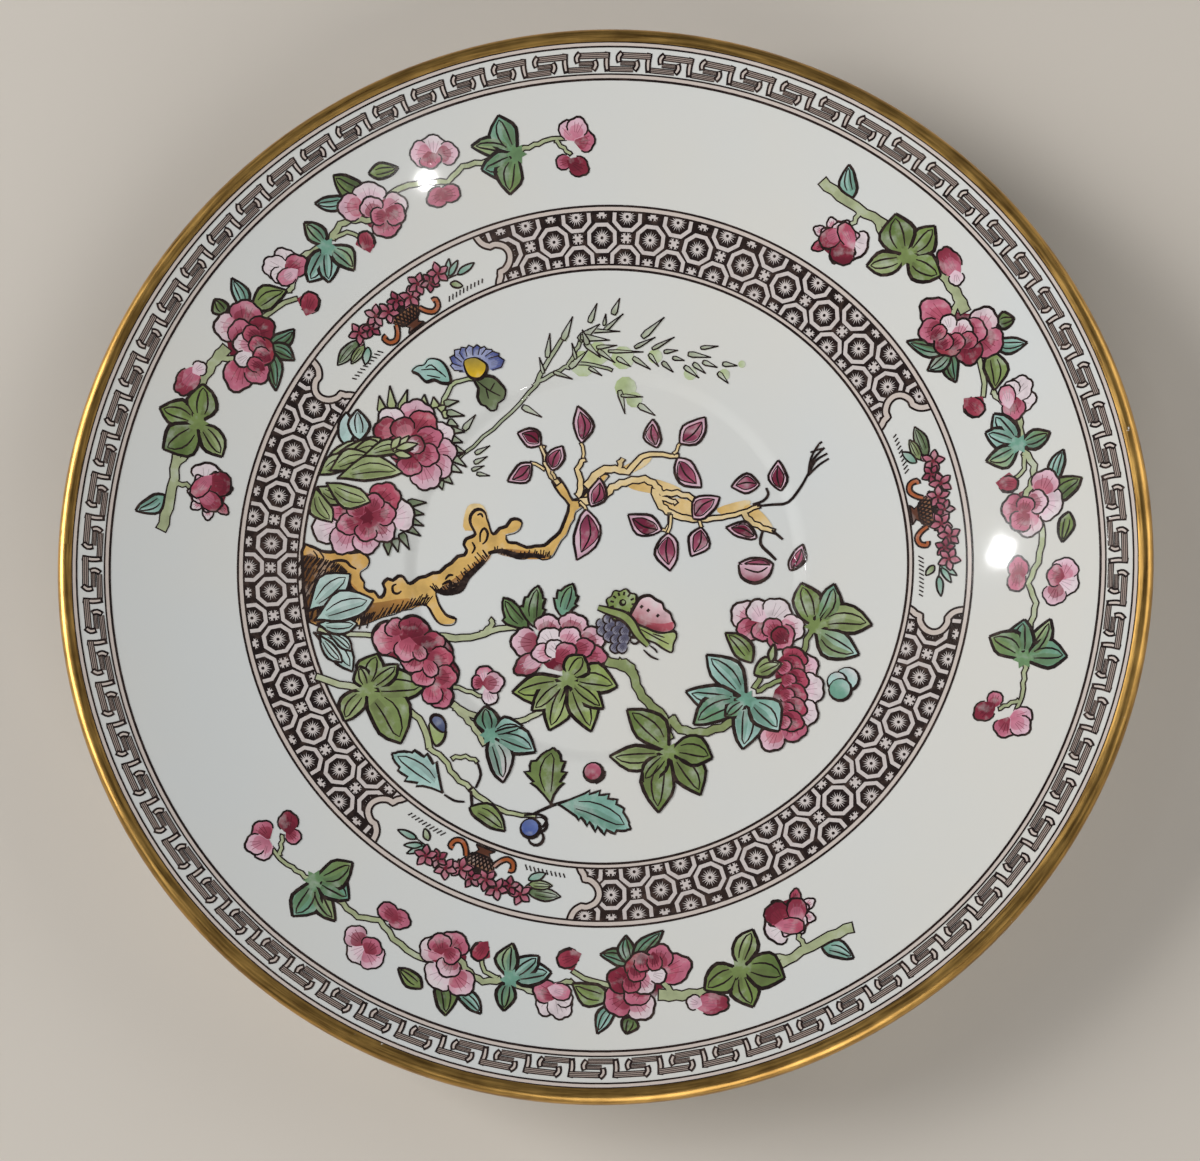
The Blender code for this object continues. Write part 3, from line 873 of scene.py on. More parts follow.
def leaf_heart(drawing, base, tip, width, near, far, bend=0, line=0.3, paint="leaf", wide_at=0.45):
    """One half of the leaf pooled darker, and two fine lines that meet short of the tip."""
    spot, half = leaf_plan(base, tip, width, bend, wide_at)
    stations = (0.24, 0.38, 0.52, 0.66, 0.80)
    pooled = [spot(along, half(along, -1) * 0.8) for along in stations]
    middle = [spot(along, 0) for along in (0.9, 0.5, 0.2)]
    drawing.patch(pooled + middle, paint, blend(near, INK, 0.2), blend(near, far, 0.4), base, tip)
    for which in (1, -1):
        route = [spot(along, half(along, which) * 0.36) for along in stations] + [spot(0.9, 0)]
        drawing.stroke(route, line * 0.62, swell=0.5)


def leaf(drawing, base, tip, width, near, far, bend=0, teeth=0, line=0.3, heart=True, paint="leaf", wide_at=0.45):
    leaf_blade(drawing, base, tip, width, near, far, bend, teeth, line, paint, wide_at)
    if heart:
        leaf_heart(drawing, base, tip, width, near, far, bend, line, paint, wide_at)


def star_floret(drawing, centre, radius, turn, colour, heart):
    """A small flower with five pointed petals, each with its own outline."""
    centre = Vector(centre)
    for index in range(5):
        way = turn + math.tau * index / 5
        tip = centre + polar(radius, way)
        leaf(drawing, centre, tip, radius * 0.6, heart, colour, line=0.19, heart=False, paint="rose")
    drawing.patch(ring_of(centre, radius * 0.17, 6), "ink", DEEP_CRIMSON)


def scroll(drawing, route, width, colour):
    """A curled handle with a dark edge."""
    drawing.stroke(along_curve(route, 3), width + 0.34, swell=0.1)
    drawing.stroke(along_curve(route, 3), width, colour, paint="bark", swell=0.25)


def basket_of_flowers():
    """The ornament of a reserve as it lies round angle 0, with the middle of the plate towards -X."""
    sheet = Drawing(1.25)

    def at(around, radius):
        """A place by its distance clockwise from the middle of the reserve, in degrees, and its radius."""
        return polar(radius, -math.radians(around))

    for foot in range(10):
        for side in (-1, 1):
            start = at(side * (7.8 + foot * 0.78), 41.9 + 0.03 * foot)
            sheet.stroke([start, start + polar(0.8 - 0.02 * foot, -side * 0.7)], 0.14, swell=0)
    body = [at(-3.1, 44.4), at(-2.5, 43.2), at(-1.3, 42.5), at(1.3, 42.5), at(2.5, 43.2), at(3.1, 44.4)]
    sheet.patch(body, "bark", (92, 52, 34), (150, 104, 70), at(0, 42.4), at(0, 44.4))
    for slat in range(-3, 4):
        sheet.stroke([at(slat * 0.62 - 0.7, 42.6), at(slat * 0.8 + 0.6, 44.4)], 0.19, swell=0)
        sheet.stroke([at(slat * 0.62 + 0.7, 42.6), at(slat * 0.8 - 0.6, 44.4)], 0.19, swell=0)
    sheet.stroke(body, 0.28, closed=True, swell=0)
    foot = [at(-1.5, 42.5), at(-1, 42), at(-1.9, 41.5), at(1.9, 41.5), at(1, 42), at(1.5, 42.5)]
    sheet.patch(foot, "bark", (92, 52, 34))
    sheet.stroke(foot, 0.22, closed=True, swell=0)
    for side in (-1, 1):
        handle = [at(side * 2.6, 43.4), at(side * 3.3, 42.5), at(side * 4.4, 41.9), at(side * 5.6, 42.2),
                  at(side * 5.9, 43.1), at(side * 5.2, 43.2)]
        scroll(sheet, handle, 0.42, (166, 88, 44))
    sheet.stroke([at(-3.6, 44.3), at(-1.5, 44.7), at(1.5, 44.7), at(3.6, 44.3)], 0.4, swell=0.2)
    for base, tip, width, near in (
        ((9.4, 44.8), (11.4, 47), 0.8, TEAL), ((10, 44.9), (12.6, 46.3), 0.8, TEAL),
        ((11.4, 44.6), (15, 45.1), 0.9, TEAL), ((9.6, 44), (11.4, 42.9), 0.9, OLIVE),
        ((-8.6, 45.2), (-11.6, 44.2), 1.1, TEAL), ((-9.4, 45.4), (-15, 45.3), 1.8, DEEP_GREEN),
        ((-9.2, 44.4), (-13.3, 44), 1.3, OLIVE), ((-9, 43.8), (-11.8, 42.5), 1.1, TEAL)):
        leaf(sheet, at(*base), at(*tip), width, near, blend(near, (214, 216, 208), 0.6), line=0.2, heart=width > 1.2)
    sheet.stroke([at(8.4, 45.2), at(9.6, 44.7), at(11.8, 44.6)], 0.16, swell=0)
    for index, place in enumerate((-8.3, -6.2, -4.3, -2.2, 0.1, 2.4, 4.7, 6.6, 8.6)):
        reach = (45.9, 45.2, 46.1, 45.4)[index % 4]
        deep = index % 3 == 1
        colour, heart = ((176, 84, 108), DEEP_CRIMSON) if deep else ((202, 128, 146), CRIMSON)
        star_floret(sheet, at(place, reach), 1.6 - 0.2 * deep, index * 0.9, colour, heart)
    return sheet


def enamel_group():
    """Hand-laid enamel: it pools darker in places and lets the white glaze through in others."""
    nodes, taken, given = shader_group(
        "brushed_enamel",
        [("Enamel Colour", "NodeSocketColor", (0.3, 0.1, 0.1)), ("Brush Scale", "NodeSocketFloat", 300)],
        [("Base Color", "NodeSocketColor"), ("Height", "NodeSocketFloat")],
    )
    brush = nodes.noise(nodes.place(), taken["Brush Scale"], 4, 0.55)
    pooled = nodes.span(brush, 0.32, 0.52, 0.42, 0)
    shown = nodes.span(brush, 0.52, 0.75, 0, 0.42)
    dark = nodes.mix(0.55, taken["Enamel Colour"], (0.02, 0.01, 0.01))
    toned = nodes.mix(pooled, taken["Enamel Colour"], dark)
    nodes.join(nodes.mix(shown, toned, GLAZE_GREY), given["Base Color"])
    nodes.join(brush, given["Height"])
    return nodes.tree


brushed_enamel = enamel_group()


def enamel_material(name, roughness, scale, bump):
    material, nodes, shader = new_material(name, roughness, coat=0.35)
    group = nodes.group(brushed_enamel, Brush_Scale=scale, Enamel_Colour=nodes.drawn_tone())
    nodes.join(group.outputs["Base Color"], shader.inputs["Base Color"])
    add_bump(nodes, shader, group.outputs["Height"], bump)
    return material


FINISHES = {
    "ink": ("outlines", sepia_print, "sepia_print"),
    "rose": ("rose_enamel", enamel_material("rose_enamel_brushed", 0.16, 520, 0.02 * MM), "rose_enamel"),
    "leaf": ("green_enamel", enamel_material("green_enamel_brushed", 0.14, 440, 0.03 * MM), "green_enamel"),
    "bark": ("ochre_enamel", enamel_material("ochre_enamel_brushed", 0.2, 380, 0.015 * MM), "ochre_enamel"),
}


def paint_group(drawing, label, node, lift, turns=(0,)):
    """Fires one drawing onto the glaze at each of the turns, as a piece for each paint."""
    films = laid_on_glaze(drawing, lift)
    for number, turn in enumerate(turns, 1):
        suffix = f"_{number}" if len(turns) > 1 else ""
        for paint, film in films.items():
            copy = film.copy()
            bmesh.ops.rotate(copy, verts=copy.verts[:], cent=(0, 0, 0), matrix=Matrix.Rotation(turn, 3, "Z"))
            word, finish, slot = FINISHES[paint]
            set_down(finished(f"{label}_{word}{suffix}", copy), finish, [f"{node}{suffix}"], slot)
    for film in films.values():
        film.free()


paint_group(basket_of_flowers(), "basket", "reserve_ornament", ENAMEL_LIFT, RESERVE_TURNS)

# --- Rim sprays ---
# Three like sprays of peony hang clockwise round the rim: a cut stem, then flowers, leaves and buds. They are
# outlined in print and filled by hand, so the enamel strays a little past the lines.
PINK = (196, 112, 134)
PALE_PINK = (226, 190, 202)
BLUSH = (222, 208, 210)
ROSE = (176, 74, 96)
LIGHT_OLIVE = (164, 176, 128)
AQUA = (172, 204, 196)
# A full peony from its rim to its heart: petals in the ring, how far out they reach, where they start, spread, lobes.
PEONY_RINGS = ((7, 1, 0.30, 0.92, 3), (5, 0.70, 0.06, 0.74, 3), (3, 0.40, -0.12, 0.5, 2))
SPRAY_TURNS = [math.radians(angle) for angle in (0, -116.5, -233)]


def petal(drawing, base, tip, width, near, far, lobes=3, line=0.3, depth=0.12, paint="rose"):
    """A petal that opens from its base to a scalloped edge, with a deeper blush and fine strokes out of its base."""
    base, tip = Vector(base), Vector(tip)
    axis = (tip - base) / 2
    side = Vector((-axis.y, axis.x)).normalized() * width / 2
    middle = (base + tip) / 2
    opening = math.radians(118)
    outline = []
    count = 4 * lobes
    for index in range(count + 1):
        part = index / count
        angle = opening * (2 * part - 1)
        reach = 1.04 - depth * (1 - abs(math.sin(math.pi * lobes * part)) ** 0.8)
        outline.append(middle + axis * math.cos(angle) * reach + side * math.sin(angle) * reach)
    outline.append(base)
    drawing.patch([point + Vector((0.08, -0.08)) for point in outline], paint, blend(near, far, 0.45), far, base, tip)
    blush = [base + (point - base) * 0.68 for point in outline]
    drawing.patch(blush, paint, near, blend(near, far, 0.55), base, tip)
    for lean in (-0.5, 0, 0.5):
        way = axis * 2 + side * lean
        drawing.stroke([base + way * 0.3, base + way * 0.76], 0.16, blend(near, INK, 0.25), paint=paint, swell=0.5)
    drawing.stroke(outline[:-1], line * 0.85, swell=0.4)


def row_of(draw, drawing, *rows):
    """Draws petals or leaves one over the other. Each is where its base and its tip are, then what else it takes."""
    for x, y, tip_x, tip_y, *rest in rows:
        draw(drawing, (x, y), (tip_x, tip_y), *rest)


def heart_washes(drawing, *hearts):
    """Deep colour laid down under the petals of each flower, so that it shows between them."""
    for x, y, radius in hearts:
        drawing.patch(ring_of((x, y), radius, 12), "rose", DEEP_CRIMSON, CRIMSON, (x, y), (x, y + radius))


def peony(drawing, centre, along, across, turn, pale_way):
    """A full flower: rings of scalloped petals, deep in the heart and pale on the side that catches the light."""
    centre = Vector(centre)
    pale = polar(1, math.radians(pale_way))

    def at(reach, angle):
        flat = Vector((math.cos(angle) * along / 2 * reach, math.sin(angle) * across / 2 * reach))
        return centre + Matrix.Rotation(math.radians(turn), 2) @ flat

    for level, (count, reach, root, spread, lobes) in enumerate(PEONY_RINGS):
        for index in range(count):
            angle = math.tau * (index + 0.35 * level + 0.13) / count + 0.12 * math.sin(7 * index + 1)
            uneven = reach * (1 + 0.07 * math.sin(5.3 * index + 1.7 + level))
            base, tip = at(root, angle), at(uneven, angle)
            width = spread * (along + across) / 2 * (1.35 if count < 4 else 3.4 / count)
            light = (tip - centre).normalized().dot(pale) - 0.25 * level
            near, far = DEEP_CRIMSON, ROSE
            if light > -0.2:
                near, far = (PINK, BLUSH) if light > 0.35 else (CRIMSON, PALE_PINK)
            petal(drawing, base, tip, width / 2, near, far, lobes, 0.26)


def branches(drawing, routes, colour, paint="leaf", edge=0.38):
    """Stems with a pen line down both sides. Each is its route and the width at its start and end."""
    curves = []
    for route, start, end in routes:
        smooth = along_curve(route, 3)
        curves.append([point + polar(0.11, 2.3 * index + point.x) for index, point in enumerate(smooth)])
    for curve, (route, start, end) in zip(curves, routes):
        before = curve[0] + (curve[0] - curve[1]).normalized() * edge / 2
        after = curve[-1] + (curve[-1] - curve[-2]).normalized() * edge / 2
        first, last = (start + edge) / drawing.pen, (end + edge) / drawing.pen
        drawing.stroke([before] + curve + [after], first, swell=0, to_width=last)
    for curve, (route, start, end) in zip(curves, routes):
        drawing.stroke(curve, start, colour, paint=paint, swell=0, to_width=end)


def leaf_cluster(drawing, heart, tips, near, far):
    """Broad leaves that spread from one place, under one wash that leaves their roots unlined. Each is its tip and
    width, and may have its own bend and far colour."""
    plans = []
    for tip, width, *more in tips:
        bend = more[0] if more else 0
        own_far = more[1] if len(more) > 1 else far
        plans.append((heart, tip, width * 1.3, near, own_far, bend))
    for plan in plans:
        leaf_blade(drawing, *plan, line=0.34, wide_at=0.52)
    drawing.patch(ring_of(heart, 1.4, 12, inner=0.8), "leaf", near)
    for plan in plans:
        leaf_heart(drawing, *plan, line=0.34, wide_at=0.52)


def round_bud(drawing, centre, radius, colour, far, turn):
    """A small round bud of two petals."""
    centre = Vector(centre)
    for root, out, reach, width in ((2.4, -0.5, 1, 1.7), (-2.2, 0.8, 1.1, 1.5)):
        tip = centre + polar(radius * reach, turn + out)
        petal(drawing, centre + polar(radius, turn + root), tip, radius * width, colour, far, 2)


def rim_spray():
    """The spray that starts at the left of the plate and ends near the top."""
    spray = Drawing(1.3)
    heart_washes(spray, (-53.2, 8.2, 2.4), (-48, 28.8, 3.2), (-31.2, 47.6, 2.6), (-23.8, 55.3, 1.5))
    stem_green = (168, 176, 136)
    branches(spray, [
        ([(-58.9, 3), (-58.2, 6), (-57.6, 10), (-57.4, 13)], 1.2, 0.9),
        ([(-57.5, 11.6), (-55.9, 13.5), (-54.6, 15.2)], 0.7, 0.5),
        ([(-57.4, 9.2), (-56, 9.2), (-54.9, 8.6)], 0.5, 0.4),
        ([(-55.7, 20.6), (-54, 24), (-52.6, 26.4), (-51.3, 28)], 0.9, 1.3),
        ([(-52.4, 26.6), (-50.4, 26.7)], 0.8, 0.5),
        ([(-43.2, 36), (-42.6, 37.4), (-41.8, 40)], 0.5, 0.5),
        ([(-46.5, 32.5), (-43.8, 34.6), (-42, 35.3)], 0.5, 0.4),
        ([(-42, 40.6), (-40.2, 41.6), (-38.6, 42.6)], 0.6, 0.6),
        ([(-37.6, 43.4), (-36.4, 45.4), (-34.4, 46.2), (-32.4, 46.2)], 0.7, 0.6),
        ([(-37.2, 43.6), (-35.4, 44.5), (-33.8, 43.9)], 0.4, 0.3),
        ([(-30.4, 49.2), (-28.4, 50.6), (-25, 51.6), (-22, 51.8), (-20, 53.7), (-17.3, 54.4), (-13.6, 55.3)], 0.6, 0.5),
        ([(-13.4, 55.7), (-11.6, 56.3), (-9.6, 57), (-8, 57.6), (-5.9, 57.7)], 0.5, 0.3),
        ([(-7.4, 57.5), (-6.2, 56.4), (-5.2, 55.6)], 0.4, 0.3),
    ], stem_green)
    leaf(spray, (-58.7, 7.6), (-62.3, 5.2), 2.3, TEAL, AQUA, bend=0.1)
    petal(spray, (-53.6, 9.2), (-53, 12.3), 4.2, BLUSH, BLUSH, 3, 0.34)
    peony(spray, (-53, 7.9), 6, 6.6, 10, 200)
    row_of(petal, spray,
        (-53.4, 9.6, -50.1, 9.6, 3.4, CRIMSON, DEEP_CRIMSON, 2, 0.26),
        (-54.4, 8.4, -51.5, 6.2, 2.6, PINK, CRIMSON, 2, 0.26),
        (-52.8, 10.8, -55.2, 7.6, 2.2, PINK, ROSE, 2, 0.26))
    leaf_cluster(spray, (-54.7, 17.7), [
        ((-59.7, 19.3), 2.7, -0.06), ((-54.2, 23), 3, -0.05), ((-59.1, 13.8), 3.6, 0.1, (84, 106, 52)),
        ((-51.5, 13.3), 2.5, 0.05, LIGHT_OLIVE)], OLIVE, (120, 142, 76))
    row_of(petal, spray,
        (-54.8, 25.4, -57.4, 21.4, 2.9, PINK, CRIMSON, 4, 0.28),
        (-55.6, 24.4, -53.9, 25.6, 2, PALE_PINK, BLUSH, 3, 0.26))
    row_of(leaf, spray,
        (-51.5, 32.5, -52.9, 34.4, 2.2, DEEP_GREEN, OLIVE), (-48.9, 33.2, -50.7, 37.4, 2.1, TEAL, AQUA, -0.08),
        (-47.9, 33.4, -43.4, 36.3, 3, OLIVE, (132, 150, 90), 0.1))
    for tip, bend in (((-42.4, 31.2), -0.1), ((-42.3, 27), 0.1), ((-44.7, 22.7), 0.05)):
        leaf(spray, (-45.9, 28.6), tip, 2.2, DEEP_GREEN, TEAL, bend=bend)
    row_of(petal, spray,
        (-49.2, 31, -52.9, 30.7, 3.8, PINK, BLUSH, 3, 0.34), (-49, 31, -48.6, 34.6, 4.2, CRIMSON, PINK),
        (-48.8, 27.4, -50.2, 22.3, 4, ROSE, PINK, 3, 0.34), (-48.4, 26.6, -46.2, 23.8, 3.4, CRIMSON, PINK),
        (-48.6, 29.6, -45.2, 31.9, 3.6, DEEP_CRIMSON, CRIMSON), (-48.6, 28.6, -45.1, 27, 4.2, CRIMSON, (150, 56, 66)),
        (-48.9, 28, -49.6, 32, 3.6, CRIMSON, PINK, 3, 0.26), (-47.4, 28.8, -50.4, 28.6, 3, PINK, BLUSH),
        (-48, 27.6, -50, 26, 2.2, BLUSH, BLUSH, 2))
    for x, y, size in ((-48.2, 30.2, 2.4), (-47.4, 28.8, 2.4), (-46.8, 27.4, 2.3), (-47.6, 26.1, 2)):
        petal(spray, (x + 1.4, y - 0.6), (x - 0.9, y + 0.5), size, DEEP_CRIMSON, (186, 90, 110), 2, 0.24)
    row_of(petal, spray,
        (-42.6, 38.4, -44.6, 41.7, 3.2, BLUSH, BLUSH, 3, 0.26), (-43, 38.8, -46.6, 39.6, 3.2, BLUSH, BLUSH, 4, 0.26),
        (-43.4, 39, -45.4, 37.6, 2.2, BLUSH, BLUSH, 2, 0.24), (-43.8, 38.6, -40.9, 40.6, 3, CRIMSON, PINK),
        (-42, 39.2, -44.6, 37.2, 2.2, PALE_PINK, PINK, 2, 0.26))
    round_bud(spray, (-40.6, 34.7), 1.6, CRIMSON, (160, 60, 78), 0.4)
    leaf_cluster(spray, (-38.2, 42.4), [
        ((-41.2, 45.4), 1.9, -0.05, OLIVE), ((-40.6, 37.6), 2.6, 0.05), ((-37.9, 37.7), 2.2, 0),
        ((-34.5, 39.5), 2.2, 0.14, LIGHT_OLIVE)], TEAL, AQUA)
    round_bud(spray, (-33, 43.3), 1.4, CRIMSON, (160, 60, 78), 1)
    row_of(leaf, spray,
        (-33.2, 49.8, -37.3, 51.8, 3, DEEP_GREEN, OLIVE, 0.1), (-32.6, 52.3, -28.6, 53.3, 2, OLIVE, (132, 150, 90)),
        (-35.6, 48.9, -39.8, 48, 2, TEAL, AQUA, 0.1))
    row_of(petal, spray,
        (-32.4, 48.2, -32.6, 51.2, 4.4, PALE_PINK, BLUSH, 3, 0.26),
        (-30.8, 47.6, -27.5, 48.9, 3.6, PINK, BLUSH, 3, 0.26), (-33, 48, -36.7, 47.6, 3.6, ROSE, PALE_PINK),
        (-30.8, 47.2, -29.6, 44.2, 4, CRIMSON, PINK), (-30.4, 47.8, -27.8, 46.6, 3, CRIMSON, PINK, 3, 0.28),
        (-31.6, 46.6, -32.8, 49.2, 3.2, CRIMSON, PALE_PINK, 3, 0.28),
        (-30, 47, -32.4, 46.6, 2.4, CRIMSON, PINK, 2, 0.26),
        (-23.9, 54.6, -23.9, 57.7, 3.6, PALE_PINK, BLUSH, 3, 0.24),
        (-24, 55.4, -27, 55, 3.4, PINK, PALE_PINK, 3, 0.24),
        (-23.6, 55.2, -20.5, 55.6, 3, CRIMSON, PALE_PINK, 3, 0.24),
        (-24.6, 55.6, -24, 53.4, 3, CRIMSON, PINK, 3, 0.24), (-21.6, 50.6, -24.7, 48.9, 2.6, CRIMSON, PINK, 3, 0.28),
        (-23.4, 49.8, -20.2, 50.6, 2.4, CRIMSON, PINK, 2, 0.28))
    leaf_cluster(spray, (-12.6, 55.6), [
        ((-18.8, 56.4), 2, -0.08, LIGHT_OLIVE), ((-17.4, 53.4), 2.8, 0.1, TEAL), ((-15.1, 60.5), 3, 0.12, TEAL),
        ((-13.5, 50.3), 2.8, -0.12)], (106, 140, 96), OLIVE)
    row_of(petal, spray,
        (-4.8, 57.4, -6.4, 59.9, 2.4, PINK, PALE_PINK, 2, 0.28), (-4.8, 57.2, -2, 57.6, 2.9, CRIMSON, PINK, 3, 0.28),
        (-4.8, 57.6, -4, 60.4, 2.8, PINK, PALE_PINK), (-5, 54.9, -7.3, 54.4, 2, CRIMSON, PINK, 2, 0.26),
        (-5.8, 54.9, -2.9, 53.4, 2.6, DEEP_CRIMSON, CRIMSON, 3, 0.26))
    return spray


paint_group(rim_spray(), "rim_spray", "rim_spray", ENAMEL_LIFT, SPRAY_TURNS)

# --- Tree ---
# A gnarled bough grows in from the left and breaks into twigs with pointed pink buds. The bark is washed with ochre
# enamel that runs past the outline, and its lower edges are hatched in ink.
# Where motifs of the painting overlap, each one's film ends at a height of its own.
TREE_LIFT = 0.07 * MM
BLOSSOM_LIFT = 0.09 * MM
BOUGH_LEFT_LIFT = 0.10 * MM
BOUGH_RIGHT_LIFT = 0.12 * MM
OCHRE = (216, 176, 102)
PALE_OCHRE = (226, 200, 146)
MAGENTA = (116, 38, 66)
BUD_PINK = (176, 92, 116)


def hatch(drawing, route, length, way, count, width=0.13):
    """Short pen strokes set side by side along a route, all leaning one way."""
    spots = along_curve(route, 8)
    for index in range(count):
        place = spots[int(index * (len(spots) - 1) / (count - 1))]
        reach = length * (0.75 + 0.35 * math.sin(index * 2.7))
        drawing.stroke([place, place + polar(reach, math.radians(way + 8 * math.sin(index * 1.9)))], width, swell=0.1)


def pointed_bud(drawing, root, tip, width=2.6, stalk=None, dark=False, bend=0.08):
    """A bud like a pointed leaf: a pale margin, a magenta heart that fades to one side, and a line up its middle."""
    root, tip = Vector(root), Vector(tip)
    if stalk:
        branches(drawing, [(stalk + [root], 0.25, 0.25)], PALE_OCHRE, paint="bark", edge=0.36)
    near, far = (DEEP_CRIMSON, MAGENTA) if dark else (MAGENTA, BUD_PINK)
    leaf(drawing, root, tip, width, PALE_PINK, (206, 168, 182), bend=bend, line=0.27, heart=False, paint="rose")
    axis = tip - root
    side = Vector((-axis.y, axis.x)).normalized()
    aside = side * bend * axis.length
    inner_root, inner_tip = root + axis * 0.1 + aside * 0.3, root + axis * 0.84 + aside * 0.5
    leaf(drawing, inner_root, inner_tip, width * 0.68, near, far, bend=bend, line=0.13, heart=False, paint="rose")
    vein = [inner_root + side * bend * 0.4, (inner_root + inner_tip) / 2 + aside, inner_tip]
    drawing.stroke(along_curve(vein, 3), 0.2)


def tree():
    bough = Drawing(1.3)
    # Ochre wash that strays outside the drawing.
    for blot in (
        [(-19, 4.6), (-19.1, 6.8), (-18.4, 8.2), (-16.6, 8), (-16, 5.4)],
        [(3, 11), (5.8, 12), (10, 10.6), (9, 9.6), (4.4, 10.2)],
        [(2, 13.4), (6, 15.2), (5.4, 13.8), (3, 12.6)],
        [(7.2, 9.2), (11.6, 8.8), (12.4, 6.4), (9.6, 6.2), (7.8, 7.4)],
        [(15, 7.8), (18.8, 9), (19.4, 8.4), (16.6, 6.8)],
        [(19.2, 8.4), (21.2, 7.2), (22.6, 5), (20.4, 5), (18.4, 7)],
    ):
        bough.patch(along_curve(blot, 3, closed=True), "bark", OCHRE, PALE_OCHRE, blot[0], blot[2])
    trunk = [
        (-40.7, 1), (-39.6, 1.8), (-38.2, 1.2), (-36.9, 1.1), (-35.6, 1.3), (-34.3, 1.1), (-33, 1.3), (-32, 0.7),
        (-31.7, -0.1), (-32, -0.9), (-32.8, -1.5), (-32.8, -2.2), (-32.3, -2.9), (-32.3, -3.6), (-31.6, -4.1),
        (-30.9, -4.1), (-30.3, -4.9), (-29.7, -4.6), (-29.5, -3.7), (-29.8, -3), (-29.2, -2.3), (-28.5, -2.5),
        (-27.8, -1.9), (-27.1, -2), (-26.5, -2.8), (-25.9, -2.7), (-25.1, -2), (-24.2, -1.8), (-23.2, -1.3),
        (-22.3, -1.2), (-21.5, -0.4), (-20.7, 0.1), (-19.9, 1), (-19, 1.2), (-18.7, 1.9), (-19.1, 2.6),
        (-18.8, 3.4), (-18.1, 3.7), (-17.6, 4.1), (-17.9, 4.8), (-18.3, 5.6), (-18.3, 6.6), (-17.7, 7.4), (-16.9, 7.5),
        (-16.3, 7), (-16.1, 6.3), (-15.8, 5.5), (-15.4, 4.3), (-14.9, 4.2), (-14.3, 4.9), (-13.4, 5.2), (-12.8, 6.1),
        (-11.9, 6.2), (-11.3, 5.7), (-11.5, 4.8), (-12.3, 4.2), (-13.4, 3.9), (-13.1, 3), (-12, 2.9), (-10.6, 2.3),
        (-9.4, 2.5), (-8.2, 2.6), (-7.4, 3.3), (-6.2, 4.4), (-5.7, 5.6), (-5.4, 6.4), (-5, 8.2), (-6.2, 9.6),
        (-7.3, 11.4), (-6.4, 11.9), (-5.2, 10.2), (-4.5, 8.9), (-3.2, 9.4), (-1.8, 11.6), (-0.6, 12.6), (0.4, 12.2),
        (-0.8, 10.8), (-2.2, 8.6), (-4, 7.2), (-4.2, 6.2), (-4.7, 5.4), (-5.2, 4), (-5.9, 3.2), (-6.6, 1.8),
        (-7.2, 0.9), (-8.4, 0.6), (-9.6, 1.1), (-10.8, 0.7), (-12, 0.8), (-13.4, 1.4), (-14.9, 1.7), (-15.6, 1.1),
        (-16.2, 0.1), (-17.3, -1), (-18.4, -2), (-18.9, -3.2), (-19.9, -4.1), (-21, -4.3), (-22, -3.9),
        (-22.7, -4.1), (-22.5, -4.9), (-22.2, -5.7), (-21.4, -6.9), (-20.7, -7.3), (-19.9, -7.6), (-20.1, -8.3),
        (-21, -8.5), (-22, -8.3), (-22.7, -7.6), (-23.2, -6.8), (-23.9, -5.8), (-25.1, -5.8), (-25.9, -6.4),
        (-27, -6.6), (-28.2, -7.2), (-29.7, -7.6), (-31.2, -8.3), (-32.8, -8.9), (-36, -8.8), (-39.4, -8.6),
    ]
    curve = along_curve(trunk, 2, closed=True)
    bough.patch([point + Vector((-0.12, 0.18)) for point in curve], "bark", (206, 156, 82), OCHRE, (-40, -6), (-26, -2))
    # Brown shadow along the undersides, with the hatching over it.
    for shadow, away in (
        ([(-40.6, 0.4), (-38, 0), (-35.8, -0.6), (-34.6, -1.4), (-34, -3), (-32.8, -4.6), (-33.2, -8.4), (-39.4, -8.5)],
         (-33.5, 0.5)),
        (
        [(-32.6, -8.8), (-29.6, -7.5), (-26.6, -6.4), (-24.2, -5.6), (-26.4, -4.9), (-29.4, -5.4), (-32.2, -6.2)],
        (-28.5, -3.4)),
        ([
        (-22.6, -3.9), (-20.2, -4.2), (-18.6, -2.4), (-16.2, 0), (-15.4, 1.2), (-16.6, 1), (-18.6, -0.8), (-20.8, -2.4)
    ],
         (-19.6, 0.6)),
        ([(-15, 1.6), (-12, 0.8), (-8.4, 0.7), (-7.4, 1), (-9.6, 1.7), (-13.2, 2.1)], (-11, 3)),
    ):
        bough.patch(along_curve(shadow, 2, closed=True), "bark", (88, 54, 30), (190, 138, 72), shadow[0], away)
    for row, route in enumerate((
        [(-40.3, 0.5), (-38, 0.2), (-35.8, -0.4), (-34.6, -1.4)],
        [(-40.2, -1.2), (-37.4, -1.4), (-35, -2.2), (-34, -3.2)], [(-40, -3), (-37.2, -3.2), (-34.6, -4), (-33, -4.8)],
        [(-39.6, -4.8), (-36.6, -5), (-33.6, -5.8), (-31.6, -6.2)],
        [(-38.8, -6.4), (-36, -6.6), (-33.4, -7.2), (-31, -7)])):
        hatch(bough, route, 2.1, 238 + 4 * row, 40, 0.15)
    hatch(bough, [(-32.6, -8.7), (-29.6, -7.5), (-27, -6.6), (-25.2, -5.8), (-24, -5.8)], 1.6, 62, 54, 0.14)
    hatch(bough, [(-22.6, -4), (-21, -4.3), (-19.8, -4), (-18.6, -2.4), (-17.2, -1), (-15.8, 1)], 1.5, 128, 44, 0.16)
    hatch(bough, [(-14.9, 1.6), (-12, 0.8), (-9.6, 1.1), (-7.4, 0.9)], 0.9, 84, 40, 0.14)
